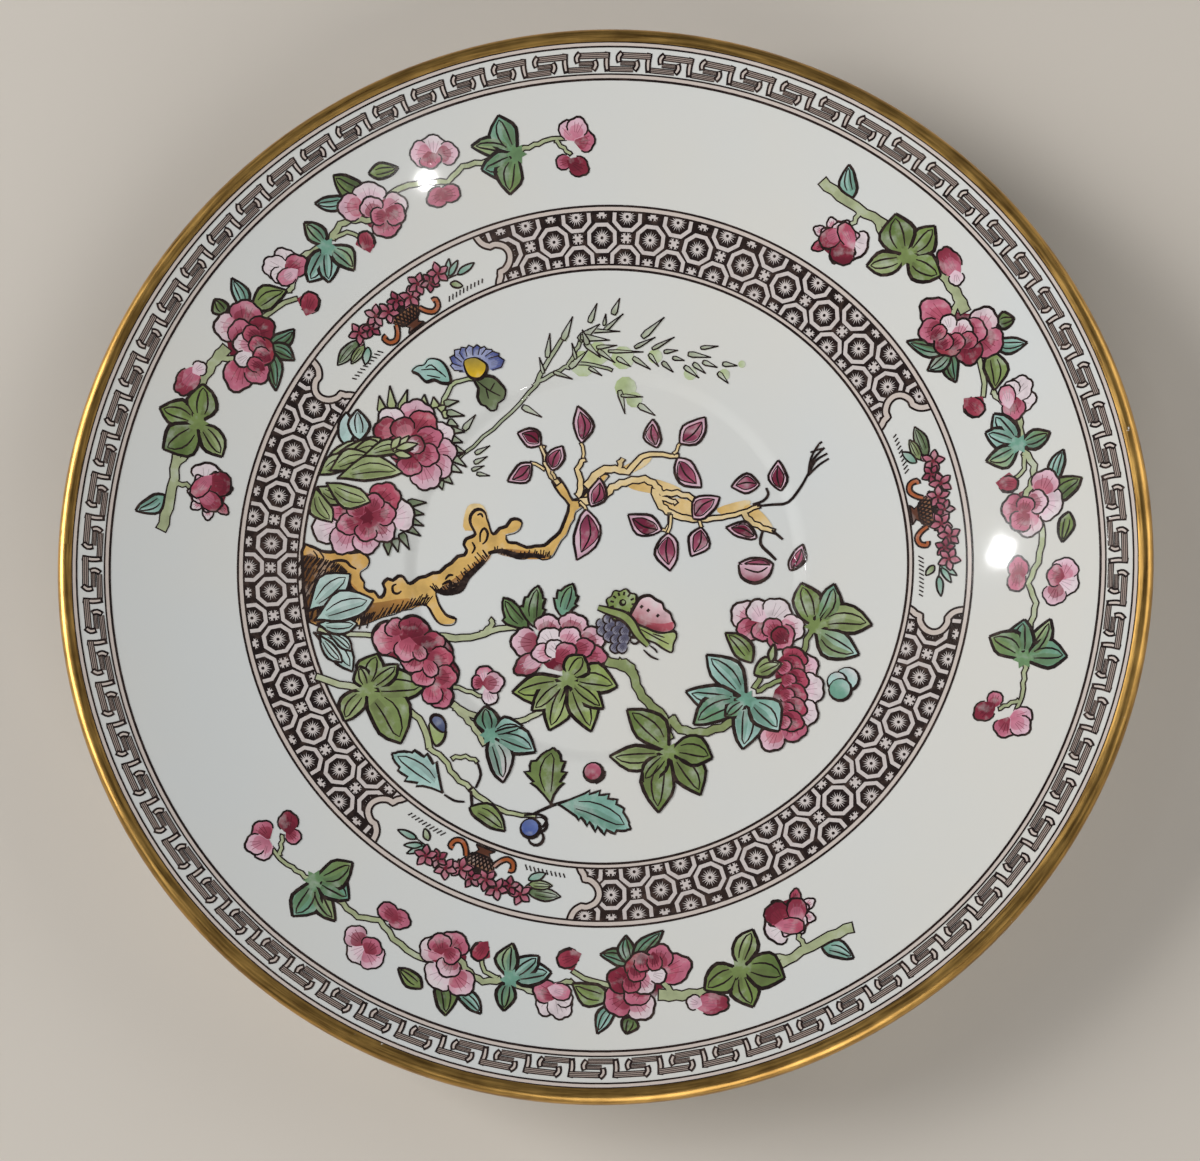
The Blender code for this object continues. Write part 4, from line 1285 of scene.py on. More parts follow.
    for ragged, width in (
        ([(-22.6, -3.7), (-21.6, -4), (-20.4, -3.8), (-19.4, -3.4), (-18.6, -1.9), (-17.4, -0.7), (-16.2, 0.5)], 0.8),
        ([(-21.9, -2.9), (-20.9, -2.4), (-20.6, -3.1), (-19.6, -2.6)], 0.4),
        ([(-15.8, 1.5), (-14, 1.8), (-12, 1.2), (-9.8, 1.2), (-8, 1)], 0.6),
        ([(-35.8, -1.2), (-34.6, -2.2), (-34.2, -3.6), (-32.8, -4.8), (-31.6, -6)], 0.5),
        ([(-37.2, -0.9), (-36.8, -0.3), (-35.8, 0), (-34.8, -0.1), (-34.2, -0.7), (-33.4, -1.1)], 0.34),
        ([(-39.2, 1.2), (-38.6, 0.2), (-39.4, -0.8)], 0.2), ([(-38.4, 1.1), (-37.8, 0.3), (-38.2, -0.6)], 0.2),
        ([(-28, -3), (-28.5, -3.3), (-28.4, -4.1), (-27.8, -4.3), (-27.3, -3.9)], 0.3),
        ([(-21.5, -2.2), (-21, -1.6), (-20.4, -1.6)], 0.3),
        ([(-16.9, 3), (-16.9, 4.2), (-16.4, 4.9), (-15.9, 4.2), (-16.1, 3.2), (-16.6, 2.7)], 0.3),
        ([(-18, 1.4), (-17.6, 2.2), (-18, 3)], 0.26), ([(-17.4, 6.7), (-16.9, 6.9), (-16.6, 6.4)], 0.26)):
        bough.stroke(along_curve(ragged, 3), width, swell=0.5)
    bough.stroke(curve, 0.25, closed=True, swell=0.6)
    branches(bough, [
        ([(-2.6, 10.8), (-0.8, 12.9), (1.2, 13.2), (2.9, 12.9), (4.6, 14.8), (6.4, 15.3), (9.6, 15)], 1, 0.35),
        ([(1.9, 13.3), (1.8, 14.2), (2.3, 14.6)], 0.5, 0.45),
        ([(-3.4, 8.6), (-0.4, 9.4), (0.8, 10.6), (2.6, 11.4), (5.2, 11.8), (6.8, 10.9), (7.6, 9.9), (9.6, 9.9),
          (11.8, 9.2), (14.2, 7.8)], 0.9, 0.5),
        (
        [(6.6, 10.4), (7.2, 8.6), (8.4, 7.4), (10.2, 6.6), (12.6, 6.3), (15.6, 6.6), (18.2, 7.2), (20.6, 8.2)], 0.9,
        0.3),
        ([(7.2, 9.4), (8.6, 8.9), (9.5, 8.6)], 0.5, 0.4),
        ([(-3.8, 9.4), (-3.4, 11), (-3.9, 13.2), (-3, 14.6)], 0.7, 0.4),
        ([(18.6, 7.4), (19.4, 6.2), (21.2, 5.2), (22.6, 4.8)], 0.7, 0.4),
        ([(-6.6, 11.2), (-7.8, 12.8), (-8.4, 14.6), (-8.7, 16.4)], 0.5, 0.35),
    ], PALE_OCHRE, paint="bark", edge=0.46)
    for route, width in (
        ([(20.4, 8.2), (22.4, 8.4), (24.6, 8.7), (26.2, 10.6), (27.2, 12.4)], 0.3),
        ([(27.2, 12.2), (27.6, 14.6), (28.6, 16.4), (29.1, 16.8)], 0.24),
        ([(27.2, 12.2), (27.9, 14.4), (29.4, 16)], 0.26), ([(27.2, 12.2), (28.2, 14.2), (29.8, 15.2)], 0.26),
        ([(27.2, 12.2), (28.6, 13.6), (30, 14.5)], 0.24), ([(27.5, 15.4), (28.7, 15.8), (29.4, 15.9)], 0.2),
        ([(22.4, 4.9), (23.9, 3.6)], 0.3), ([(21.2, 4.8), (20.9, 3), (22.2, 1.6), (23, 0.8)], 0.34),
        ([(21.6, 10.7), (21.9, 9.8), (21.2, 8.9), (19.8, 8.4)], 0.3),
    ):
        bough.stroke(along_curve(route, 3), width, swell=0.2)
    for root, tip, width, stalk, dark, bend in (
        ((-9, 16.5), (-12.2, 18.2), 2.6, [(-8.3, 14.4)], True, -0.1),
        ((-7.4, 13), (-6, 16.4), 2.5, [(-7, 11.9)], False, 0.08),
        ((-10.2, 14), (-13.4, 11.4), 2.5, [(-8.4, 13.2)], False, 0.1),
        ((-3.4, 16.8), (-4.1, 22), 2.6, [(-3.1, 14.8)], False, -0.1),
        ((-2.6, 7.6), (-3.8, 0.6), 3.6, [(-3.4, 8.6)], False, 0.12),
        ((-2, 8), (-0.9, 12), 2.5, None, False, -0.1),
        ((6.8, 16.2), (6.2, 20.2), 2.3, None, False, 0.1),
        ((9.9, 16.8), (13.3, 20.5), 3.1, [(9.2, 15.4)], False, -0.06),
        ((9.6, 14.8), (12.9, 10.7), 3.1, None, False, -0.08),
        ((7.6, 4.8), (3, 6.9), 3, [(8.7, 7), (8.4, 5)], True, 0.08),
        ((8.5, 4.4), (8.8, -0.8), 3.2, [(8.9, 6.8)], False, -0.06),
        ((12.9, 5.2), (11.6, 1.2), 2.9, [(12.7, 6.4)], False, 0.1),
        ((11.8, 6.4), (15.4, 9.4), 3, None, False, 0.1),
        ((20.4, 3.8), (16.2, 5.2), 2.2, None, True, -0.1),
        ((20.7, 11.2), (16.9, 10.8), 2.6, None, False, -0.08),
        ((23.6, 10.3), (23.2, 14.4), 2.4, None, True, 0.06),
        ((24.9, -0.6), (26.6, 2.9), 2, None, False, -0.06),
        ((22.7, 0.1), (18, 0.3), 1.8, None, False, 0),
    ):
        pointed_bud(bough, root, tip, width, stalk, dark, bend)
    pod = [(18, 0.1), (18.4, -1.6), (20.2, -2.4), (22, -1.5), (22.6, 0)]
    bough.patch(along_curve(pod, 3), "rose", PALE_PINK, CRIMSON, (20.4, 0.2), (20, -2.4))
    bough.stroke(along_curve(pod, 3), 0.4)
    bough.stroke(along_curve([(18.8, -0.4), (20.6, -0.9), (21.9, -0.2)], 3), 0.22)
    return bough


paint_group(tree(), "tree", "tree_enamel", TREE_LIFT)

# --- Bamboo ---
# A thin jointed cane leans across the well, with narrow pointed leaves in grey-green. Most leaves are three quick pen
# lines with a touch of wash.
BAMBOO_GREEN = (162, 170, 140)
BAMBOO_PALE = (204, 206, 196)


def blade(drawing, root, tip, width=0.9, near=BAMBOO_GREEN, far=BAMBOO_PALE, line=0.17):
    """A narrow leaf cut square at its root, drawn in three strokes, one of them heavy."""
    root, tip = Vector(root), Vector(tip)
    side = Vector((root.y - tip.y, tip.x - root.x)).normalized() * width / 2
    full = root + (tip - root) * 0.22
    outline = [root + side * 0.7, full + side, tip, full - side, root - side * 0.7]
    drawing.patch([point + Vector((0.1, -0.12)) for point in outline], "leaf", near, far, root, tip)
    drawing.stroke([outline[0], outline[1], tip], line * 0.8, swell=0.1)
    drawing.stroke([outline[4], outline[3], tip], line * 1.2, swell=0.1)
    drawing.stroke([outline[0], outline[4]], line, swell=0)


def bamboo():
    cane = Drawing(1.15)
    for centre, radius in (
        ((2.4, 24.6), 1.5), ((3.6, 22.9), 1.1), ((-3.4, 27.8), 1.8), ((-1.4, 29.2), 1.6), ((2, 28.6), 1.6),
        ((6.4, 28.8), 1), ((11.2, 26.4), 0.9), ((15.8, 26.2), 0.8), ((18.2, 27.6), 0.5)):
        cane.patch(ring_of(centre, radius, 10), "leaf", (
            176, 190, 140), (196, 204, 178), centre, Vector(centre) + Vector((radius, 0)))
    branches(cane, [
        ([(-20.6, 14.2), (-16.8, 17.6), (-13.2, 21), (-9.8, 24.8)], 0.25, 0.3),
        ([(-9.9, 24.6), (-8.8, 27), (-6.4, 31)], 0.5, 0.35),
        ([(-9.6, 25.2), (-6.6, 26.8), (-4.8, 27.8), (-2, 27.6), (0.6, 26.9)], 0.35, 0.2),
        ([(-5.6, 27), (-4.4, 29.6), (-3.8, 30.8)], 0.4, 0.3),
    ], BAMBOO_GREEN, edge=0.34)
    cane.stroke([(-20.8, 14.4), (-19.2, 15.6)], 0.6)
    for x, y, tip_x, tip_y, width in (
        (-8.3, 28.6, -8, 31.9, 0.8), (-6.2, 31, -4.9, 34.2, 0.95), (-11.6, 21.9, -8.9, 20.4, 0.9),
        (-19.5, 18.5, -17.9, 20.6, 0.9), (-17.9, 15.3, -15.9, 16.4, 0.7), (-18, 14, -16.2, 14.9, 0.7),
        (-18.3, 13, -16.6, 13.6, 0.6), (-17.6, 12.5, -15.8, 12.2, 0.6), (0.6, 34.5, 1.5, 36.7, 0.9),
        (-0.6, 32.3, 2, 34.6, 0.6), (-2.8, 32.3, 1.6, 32.2, 0.6), (4.6, 31.4, 7.6, 34.1, 0.9),
        (3.6, 30, 6.4, 31.4, 0.6), (6, 29.8, 9, 31.4, 0.6), (0, 29.5, 4.8, 29.4, 0.5),
        (7.6, 29.4, 9.5, 29.6, 0.6), (8.8, 28.6, 10.4, 28.2, 0.6), (10.9, 29.1, 14, 28.6, 0.8),
        (12.6, 29.9, 15, 30.1, 0.55), (5.6, 29.1, 6.9, 27.4, 0.6), (3.4, 28.6, 5.8, 27, 0.7),
        (1.2, 28.6, 3.1, 27.4, 0.7), (7.4, 28, 8.9, 26.6, 0.7), (10.4, 27.4, 12.4, 25.8, 0.7),
        (11.6, 27.8, 13.3, 26.4, 0.7), (12.9, 28, 14.9, 27.2, 0.7), (15.6, 27.7, 17.6, 27.4, 0.7),
        (15, 26.5, 16.4, 25, 0.7), (1.6, 24.2, 2.4, 20.9, 0.8), (1.8, 23.5, 4.8, 23.3, 0.5),
        (4.2, 22.2, 6.5, 20.7, 0.9), (-4, 31, -1.2, 33.2, 1.3), (-3.8, 31.4, 0.2, 31, 1),
        (-3.2, 30.6, -1, 28.6, 0.8), (-1.6, 30, 1.2, 30.3, 0.6), (-1.4, 29.6, 1, 27.9, 0.7),
        (-2.6, 33.4, -1.6, 36, 0.8), (-5.2, 27.2, -2.8, 29.6, 0.9), (-7.4, 26.6, -4.8, 25.7, 0.6),
        (-2.6, 27.2, -0.8, 26.2, 0.5), (-8.8, 26.4, -9.4, 28.6, 0.5), (-4.4, 28.4, -5, 30.6, 0.5),
        (-2.8, 30.4, -3.6, 32.4, 0.8), (-0.6, 33, -0.4, 34.6, 0.5),
    ):
        blade(cane, (x, y), (tip_x, tip_y), width * 0.95)
    return cane


paint_group(bamboo(), "bamboo", "bamboo_enamel", ENAMEL_LIFT)

# --- Left blossoms ---
# Two heavy peonies and their leaves crowd the left of the well, fringed with spiky green, under a blue and yellow
# flower on a thin stalk.
BLUE = (74, 84, 142)
PALE_BLUE = (150, 156, 190)
YELLOW = (222, 182, 40)
GRASS = (132, 148, 92)


def fringe(drawing, roots, tips, width=0.9, near=(140, 152, 124), far=(180, 188, 166)):
    """Spiky leaves in a row behind a flower."""
    for root, tip in zip(roots, tips):
        blade(drawing, root, tip, width, near, far, line=0.2)


def daisy(drawing):
    """A side view: a yellow cup with round blue petals arching over it."""
    for root, tip, width, far in (
        ((-19.4, 26.9), (-20.4, 26.9), 1.1, PALE_BLUE), ((-19.2, 27.3), (-21.4, 27.2), 1.5, PALE_BLUE),
        ((-19.2, 27.6), (-21.5, 28.3), 1.5, BLUE), ((-19, 27.9), (-20.9, 29.3), 1.5, PALE_BLUE),
        ((-18.8, 28), (-20, 29.7), 1.4, BLUE), ((-18.5, 28.2), (-19, 30), 1.3, PALE_BLUE),
        ((-17.8, 28.2), (-17.9, 30.1), 1.3, BLUE), ((-17.2, 28.2), (-16.9, 29.9), 1.3, PALE_BLUE),
        ((-17, 28), (-15.9, 29.5), 1.5, PALE_BLUE), ((-16.8, 27.6), (-14.9, 29), 1.7, BLUE),
        ((-16.7, 27.3), (-14.2, 28.1), 1.8, BLUE)):
        petal(drawing, root, tip, width, PALE_BLUE, far, 1, 0.2, 0, "leaf")
    cup = along_curve([(-19.6, 27.9), (-19.3, 26.4), (-18.6, 25.6), (-17.4, 25.5), (-16.6, 26.4), (-16.5, 27.4),
                       (-17.2, 28), (-18.2, 28.4)], 3, closed=True)
    drawing.patch(cup, "bark", YELLOW, (150, 136, 70), (-18, 26.6), (-18.2, 28.6))
    drawing.stroke(cup, 0.26, closed=True, swell=0.6)


def drawn_leaf(drawing, outline, near, far, veins, steps=3):
    """A leaf of free outline, with its veins."""
    curve = along_curve(outline, steps, closed=True)
    drawing.patch([point + Vector((
        -0.12, 0.1)) for point in curve], "leaf", near, far, outline[0], outline[len(outline) // 2])
    for vein in veins:
        drawing.stroke(along_curve(vein, 3), 0.17, swell=0.4)
    drawing.stroke(curve, 0.28, closed=True, swell=0.45)


def left_blossoms():
    bank = Drawing(1.3)
    heart_washes(bank, (-26.2, 16.2, 3.6), (-32.4, 6, 3.4))
    branches(bank, [([(-18.4, 25.4), (-20.2, 25.2), (-21.6, 24), (-22.3, 22)], 0.3, 0.5)], LIGHT_OLIVE)
    drawn_leaf(bank, [
        (-21.4, 24.9), (-21.6, 26.2), (-22.3, 27.4), (-23.2, 28), (-24.4, 28), (-25, 27.2), (-25.9, 27), (-26.6, 26.3),
        (-25.8, 25.9), (-25.2, 25.3), (-24.6, 24.9), (-23.6, 25.2), (-22.6, 24.8)], (128, 172, 158), AQUA,
               [
        [(-22, 25.6), (-23.4, 26.6), (-25.4, 26.5)], [(-22.6, 26), (-24, 27.2), (-24.8, 26.8)],
        [(-22.8, 25.5), (-24.6, 25.8)]])
    drawn_leaf(bank, [
        (-18.3, 25.5), (-17, 25.9), (-15.6, 25.8), (-14.6, 24.9), (-13.9, 24), (-14.1, 22.8), (-14.9, 22.2),
        (-15.1, 21.4), (-15.9, 21.2), (-16.6, 21.8), (-17.2, 22), (-17.7, 23), (-17.6, 24.2)
    ], (84, 98, 62), (116, 128, 92),
               [
        [(-17.8, 25.2), (-16.2, 24), (-14.6, 23.2)], [(-16.6, 24.3), (-16.2, 22.8)], [(-16, 23.9), (-15.4, 25)]], 2)
    daisy(bank)
    fringe(bank, [
        (-30.5, 20.5), (-29.2, 21), (-28, 21), (-26.6, 21), (-25, 21.5), (-23.4, 21.4), (-22.8, 21), (-22.4, 20.4)],
           [
        (-31, 22.8), (-29.6, 24.2), (-27.2, 23.8), (-25.8, 22.4), (-24.9, 23.2), (-23.7, 22.9), (-21.9, 21.9),
        (-20.8, 21)],
           1.2, (162, 172, 120), (190, 198, 160))
    fringe(bank, [
        (-22.2, 22), (-21.8, 20.8), (-21.6, 19.6), (-21.4, 18.4), (-21.2, 17.2), (-21, 16), (-21, 14.8), (-21.2, 13.4),
        (-22, 12), (-22.6, 11.4)],
           [
        (-20.2, 22.4), (-19.4, 20.4), (-20.2, 18.9), (-19.3, 18.2), (-19.6, 16.8), (-19.2, 15.4), (-19, 13.4),
        (-19.6, 12.6), (-20.8, 11), (-22.2, 10.2)],
           1)
    fringe(bank, [(-26.8, 8.2), (-26.6, 7), (-26.8, 6), (-27, 5), (-27.6, 4), (-28.4, 3.2), (-29.4, 2.8)],
           [
        (-24.3, 8.4), (-24.6, 6.8), (-24.6, 5.2), (-25, 3.8), (-26.4, 1.8), (-27.9, 1.4), (-29.2, 0.9)
    ], 1.1, (96, 110, 84), (140, 150, 120))
    leaf(bank, (-35.2, 15.8), (-35.3, 20.4), 2.4, AQUA, (190, 208, 206), heart=False)
    leaf(bank, (-33.4, 16.6), (-33.9, 20.8), 2.8, AQUA, (196, 210, 208))
    # Upper peony
    row_of(petal, bank,
        (-27, 18.2, -24.6, 22, 5, PINK, PALE_PINK, 4), (-27.8, 17.8, -30.6, 20.8, 3.8, PALE_PINK, BLUSH),
        (-28, 17.6, -31.6, 18.2, 4, (204, 128, 140), CRIMSON),
        (-24.4, 16.8, -20.9, 18.4, 3.6, PALE_PINK, BLUSH, 3, 0.28),
        (-23.8, 15.2, -20.4, 15.6, 3.6, PINK, PALE_PINK, 3, 0.28),
        (-24, 14.6, -21.4, 12.2, 3.6, PINK, PALE_PINK, 3, 0.28), (-25.2, 14.2, -23.8, 10.2, 4.2, PINK, PALE_PINK, 4),
        (-26.4, 14.6, -27, 12, 3.4, CRIMSON, PINK, 3, 0.28), (-26.8, 16, -30, 15.6, 3.2, PINK, CRIMSON, 3, 0.28),
        (-26.6, 17.4, -23.6, 20.4, 4.2, CRIMSON, (188, 92, 108)),
        (-27, 17, -28.4, 19.8, 3.4, (204, 134, 146), CRIMSON, 2, 0.28),
        (-26.4, 16.2, -22.4, 17.8, 3.4, CRIMSON, PINK, 3, 0.28), (-26, 15.4, -22.8, 14.4, 3.2, CRIMSON, PINK, 3, 0.28),
        (-27.2, 15.6, -24.8, 16.8, 2.6, BLUSH, CRIMSON, 2, 0.26))
    # Lower peony
    row_of(petal, bank,
        (-34.4, 5.6, -39.4, 3.4, 4.2, PALE_PINK, BLUSH, 2, 0.32), (-34, 5.2, -36, 1, 4, PINK, PALE_PINK),
        (-32.6, 4.8, -31.9, 1, 3.6, PINK, PALE_PINK), (-29.6, 5.8, -26.1, 7.4, 4.8, PALE_PINK, BLUSH, 3, 0.32),
        (-31.4, 6, -28.9, 3, 3.4, CRIMSON, PALE_PINK), (-31.8, 7.2, -28.3, 10.2, 4.4, CRIMSON, (186, 84, 104), 4),
        (-32.4, 6.8, -37.6, 7.2, 3.6, CRIMSON, PINK), (-32.8, 5.6, -36.2, 4.6, 3, CRIMSON, PINK, 3, 0.28),
        (-31.6, 6.4, -28.4, 6.8, 3.2, CRIMSON, PINK, 3, 0.28), (-32, 5.4, -32.6, 2.8, 3, CRIMSON, PINK, 3, 0.28),
        (-31.6, 6.8, -31.2, 9.4, 2.8, CRIMSON, PINK, 3, 0.28), (-32.8, 6.4, -34.6, 8, 2.6, CRIMSON, PINK, 2, 0.26))
    # Leaves that cross in front of both
    for base, tip, width, bend in (
        ((-38, 13.6), (-33.2, 16.4), 2.6, -0.06), ((-36.6, 14.6), (-30.6, 17), 3, -0.12),
        ((-34.8, 14.8), (-29.6, 15.4), 2.8, 0.04), ((-38.8, 11.6), (-34.2, 14.4), 2.6, 0.05),
        ((-37.4, 12.2), (-31.6, 14.4), 2.8, 0.10), ((-36.4, 11.2), (-27.6, 12.4), 3.4, 0.12),
        ((-33, 14.4), (-26.2, 15.7), 2.2, 0.10), ((-39, 10), (-34.6, 8.2), 2.6, -0.05),
        ((-37.8, 10.6), (-31.8, 8.2), 3.2, -0.08), ((-39.2, 9.8), (-36.8, 5.2), 2.8, -0.12)):
        leaf(bank, base, tip, width, GRASS, (176, 186, 138), bend=bend, line=0.26, wide_at=0.55)
    for base, tip in (
        ((-29, 15.2), (-26.8, 17.5)), ((-28.6, 15.6), (-25.6, 16.4)), ((-28.8, 15), (-26.4, 14.6)),
        ((-29.2, 15.6), (-28, 17.3))):
        leaf(bank, base, tip, 1, (160, 172, 116), (190, 196, 160), heart=False, line=0.2)
    return bank


paint_group(left_blossoms(), "left_blossoms", "left_blossom_enamel", BLOSSOM_LIFT)

# --- Lower bough ---
# A green branch runs right across the lower half with peonies, clusters of leaves in olive and blue-green, and a
# strange fruit with a dotted disc beside it.
FRUIT_RED = (150, 44, 58)


def strange_fruit(drawing):
    """A pink fruit in a green husk, with a dotted disc and a cloud of mauve scallops."""
    drawn_leaf(drawing, [
        (3.8, -8), (5.4, -8.4), (7.4, -9.2), (9.4, -9), (9.8, -9.8), (9.4, -10.8), (9.2, -11.9), (8, -11.4),
        (7, -10.7), (5.8, -10.2), (4.8, -9.4)], (128, 146, 76), (168, 180, 118),
               [[(5, -8.8), (7, -9.9), (8.8, -10.8)], [(6.6, -9.4), (8.2, -9.9)]])
    for x, y, size in (
        (-0.3, -7.9, 1.3), (0.6, -7.3, 1.3), (1.5, -7.6, 1.4), (2.3, -8, 1.4), (-0.2, -8.9, 1.3), (0.8, -8.5, 1.4),
        (1.8, -8.9, 1.4), (2.9, -9, 1.3), (0.7, -9.7, 1.4), (1.7, -10.1, 1.4), (2.7, -10.1, 1.4), (1.6, -11.2, 1.3),
        (2.5, -11.2, 1.3)):
        petal(drawing, (
            x + 0.5, y + 0.6), (x - 0.4, y - 0.8), size * 1.1, (82, 80, 100), (140, 138, 152), 2, 0.24, 0.12, "leaf")
    for centre in ((4.2, -10.2), (4, -9.4)):
        drawing.stroke(ring_of(centre, 0.6, 10), 0.18, closed=True, swell=0.4)
    disc = [Vector((2.5, -5.6)) + polar(2.15 + 0.17 * math.cos(9 * a), a) for a in between(0, math.tau, 54)[:-1]]
    drawing.patch(disc, "leaf", (116, 134, 72), (146, 162, 98), (1, -6), (4, -4))
    drawing.stroke(disc, 0.24, closed=True, swell=0.3)
    for index in range(13):
        spot = Vector((2.5, -5.4)) + polar(1.2, math.tau * index / 13)
        drawing.stroke([spot, spot + polar(0.5, math.tau * index / 13)], 0.22, swell=0)
    drawing.patch(ring_of((2.5, -5.2), 0.52, 8), "ink", INK)
    drawing.patch(ring_of((2.6, -5.1), 0.24, 6), "leaf", GRASS)
    fruit = along_curve([
        (3.5, -7.2), (4.1, -5.7), (4.9, -4.5), (6.1, -4.2), (7, -4.8), (7.8, -5.2), (8.1, -6), (8.9, -6.6),
        (9.2, -7.4), (9.6, -8.2), (9.2, -8.9), (8.2, -9.2), (6.8, -9), (5.6, -8.5), (4.4, -8)], 3, closed=True)
    drawing.patch(fruit, "rose", FRUIT_RED, (228, 196, 200), (5.6, -8.6), (7.2, -5.6))
    rind = along_curve([
        (3.8, -7.2), (4.8, -7.3), (6.4, -7.9), (8.2, -8), (9.3, -7.8), (9.2, -8.8), (7.6, -9), (5.6, -8.4), (4.2, -7.8)
    ], 3, closed=True)
    drawing.patch(rind, "rose", (112, 30, 40), (186, 92, 104), (6, -8.9), (6.8, -7.3))
    drawing.stroke(fruit, 0.26, closed=True, swell=0.5)
    for seed in ((4.9, -5.9), (5.8, -6.4), (7.1, -7.1)):
        drawing.stroke([seed, Vector(seed) + Vector((0.3, 0.35))], 0.42, swell=0.3)
    stalk = along_curve([(-0.8, -5.9), (0.8, -6.4), (2.6, -7), (3.7, -8), (4.6, -9.5), (6, -11)], 4)
    drawing.stroke(stalk, 1.25, swell=0.5)
    drawing.stroke(stalk, 0.85, (138, 152, 92), paint="leaf", swell=0.5)
    drawing.stroke(along_curve([(5.4, -11.6), (6.4, -12.5), (7.4, -12.9)], 3), 0.22)
    drawing.stroke(along_curve([(6.2, -11), (7, -11.6), (7.2, -12)], 3), 0.2)


